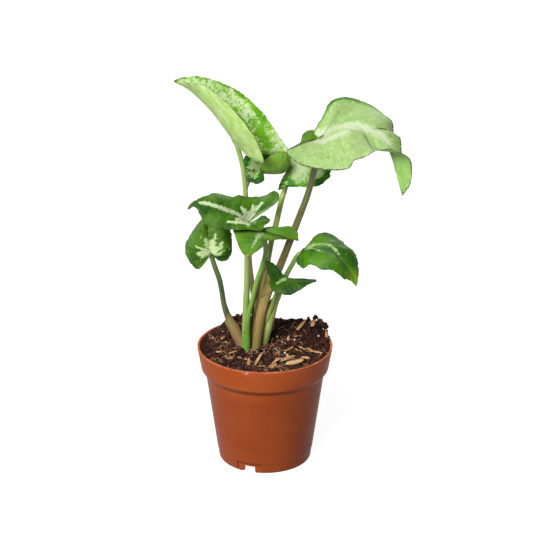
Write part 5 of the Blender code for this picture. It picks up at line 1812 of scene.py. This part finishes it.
# %% Sheath tables
# Rows are x, y, z, half width and half depth. "open" is where the slit faces, in degrees from +X;
# "span" how far it wraps, "point" the share of its length that the top slants over, "edge" its dry margin
SHEATHS = {
    "old_sheath": {
        "rows": (
            (-6.3, 1.5, 66, 3.3, 3.2), (-5.5, 1.6, 74, 3.5, 3.3), (-4.0, 2.0, 85, 3.6, 3.3),
            (-3.1, 2.2, 93, 3.9, 3.2), (-1.6, 2.3, 99.5, 4.1, 3.0), (0.3, 2.4, 106, 4.4, 2.9),
            (1.7, 2.5, 112, 4.5, 2.8), (3.1, 2.6, 120.5, 3.8, 2.6),
        ),
        "colours": (
            (0.0, (150, 142, 68)), (0.3, (166, 140, 74)), (0.6, (204, 180, 104)), (1.0, (222, 212, 132)),
        ),
        "open": 215, "span": 306, "point": 0.36, "lean": 0.92, "line": (136, 104, 54),
        "edge": (122, 78, 40), "shoot": "shoot_sheathed", "slot": "tan_stalk",
    },
    "inner_sheath": {
        "rows": (
            (-5.2, 2.8, 66, 2.7, 2.8), (-3.8, 2.9, 84, 2.9, 2.9), (-0.7, 3.0, 99, 2.9, 2.8),
            (3.7, 3.0, 109, 2.8, 2.7), (6.8, 3.0, 116.5, 2.65, 2.5),
        ),
        "colours": (
            (0.0, (176, 166, 92)), (0.4, (184, 156, 84)), (0.8, (186, 162, 86)), (1.0, (160, 140, 70)),
        ),
        "open": 100, "span": 320, "point": 0.12, "lean": -0.4, "line": (124, 94, 48), "edge": (104, 66, 36),
        "shoot": "shoot_sheathed", "slot": "tan_stalk",
    },
    "left_sheath": {
        "rows": (
            (-12.6, 6.2, 66, 2.9, 2.8), (-15.6, 5.6, 73, 3.0, 2.8), (-18.2, 5.0, 79, 2.9, 2.7),
            (-21.2, 4.6, 85, 2.6, 2.5), (-23.4, 4.3, 90.5, 2.1, 2.1),
        ),
        "colours": (
            (0.0, (190, 136, 104)), (0.4, (180, 140, 94)), (0.75, (150, 140, 74)), (1.0, (128, 134, 66)),
        ),
        "open": 30, "span": 290, "point": 0.35, "lean": 0.9, "line": (136, 96, 60), "edge": (140, 96, 60),
        "shoot": "shoot_left", "slot": "tan_stalk",
    },
    "right_sheath": {
        "rows": (
            (-1.9, 6.8, 66, 2.6, 2.5), (0.4, 6.2, 75, 2.7, 2.6), (2.2, 5.2, 85, 3.1, 2.7),
            (3.9, 3.8, 92, 2.9, 2.6), (5.9, 2.4, 98.9, 2.5, 2.3), (7.1, 1.6, 102, 2.3, 2.1),
            (9.2, 0.8, 108.5, 1.9, 1.9),
        ),
        "colours": (
            (0.0, (166, 200, 92)), (0.4, (206, 222, 132)), (0.8, (196, 212, 114)), (1.0, (166, 190, 86)),
        ),
        "open": 196, "span": 306, "point": 0.3, "lean": -0.3, "line": (128, 156, 74),
        "edge": (160, 124, 70), "shoot": "shoot_right", "slot": "green_stalk",
    },
    "green_foot": {
        "rows": (
            (-11.4, 1.1, 65, 2.4, 2.4), (-11.2, 0.9, 70, 2.6, 2.5), (-11.0, 0.4, 76, 2.45, 2.3),
            (-10.9, -0.2, 82, 2.2, 2.2),
        ),
        "colours": (
            (0.0, (120, 170, 66)), (0.84, (118, 178, 62)), (0.93, (128, 88, 52)), (1.0, (112, 74, 44)),
        ),
        "open": 90, "span": 320, "point": 0.15, "lean": 0.3, "line": (90, 140, 46), "edge": (120, 84, 48),
        "shoot": "shoot_green", "slot": "green_stalk",
    },
}

# %% [markdown]
# The grid's columns go round the sheath and its rows go up. Each column stops at its own share of the
# height, which makes the slanted top, and the thin margin is dry and brown.

# %% Build the sheaths
SHEATH_COLUMNS, SHEATH_ROWS = 48, 80
SHEATH_THICK = 0.35


def build_sheath(name, sheath):
    """A grid bent round the sheath's rows, cut off on the slant, with its edges curled away."""
    route, length = smooth_line(sheath["rows"], 90)
    side, other = frames_along(route[:, :4])
    bm = bmesh.new()
    fibre = bm.verts.layers.float_vector.new("fibre")
    share_layer = bm.verts.layers.float.new("share")
    edge_layer = bm.verts.layers.float.new("rim")
    bmesh.ops.create_grid(bm, x_segments=SHEATH_COLUMNS, y_segments=SHEATH_ROWS, size=1)
    half_span = math.radians(sheath["span"]) / 2
    middle = math.radians(sheath["open"]) + math.pi
    for vertex in bm.verts:
        u, v = vertex.co.x, (vertex.co.y + 1) / 2
        slant = 1 - sheath["point"] * abs(u - sheath["lean"]) / (1 + abs(sheath["lean"]))
        along = v * slant
        row = along_line(route, np.array([along]))[0]
        index = min(int(along * (len(route) - 1)), len(route) - 1)
        turn = middle + u * half_span
        curl = 1 + 0.12 * abs(u) ** 6 + 0.05 * noise.noise(Vector((u * 2, v * 5, len(name))))
        arm = side[index] * math.cos(turn) * row[3] + other[index] * math.sin(turn) * row[4]
        vertex[fibre] = (math.cos(turn) * row[3], math.sin(turn) * row[4], along * length)
        vertex[share_layer] = along
        vertex[edge_layer] = min((1 - abs(u)) * half_span * row[3], (1 - v) * length * 0.5)
        vertex.co = row[:3] + arm * curl
    bmesh.ops.recalc_face_normals(bm, faces=bm.faces)
    finish = stalk_finish(name, sheath["colours"], sheath["line"], 0.55, 0.55, sheath["edge"])
    made = add_piece(name, bm, [finish], [sheath["shoot"]])
    thickness = made.modifiers.new("Thickness", "SOLIDIFY")
    thickness.thickness = SHEATH_THICK * MM
    thickness.offset = 0


for name, sheath in SHEATHS.items():
    build_sheath(name, sheath)
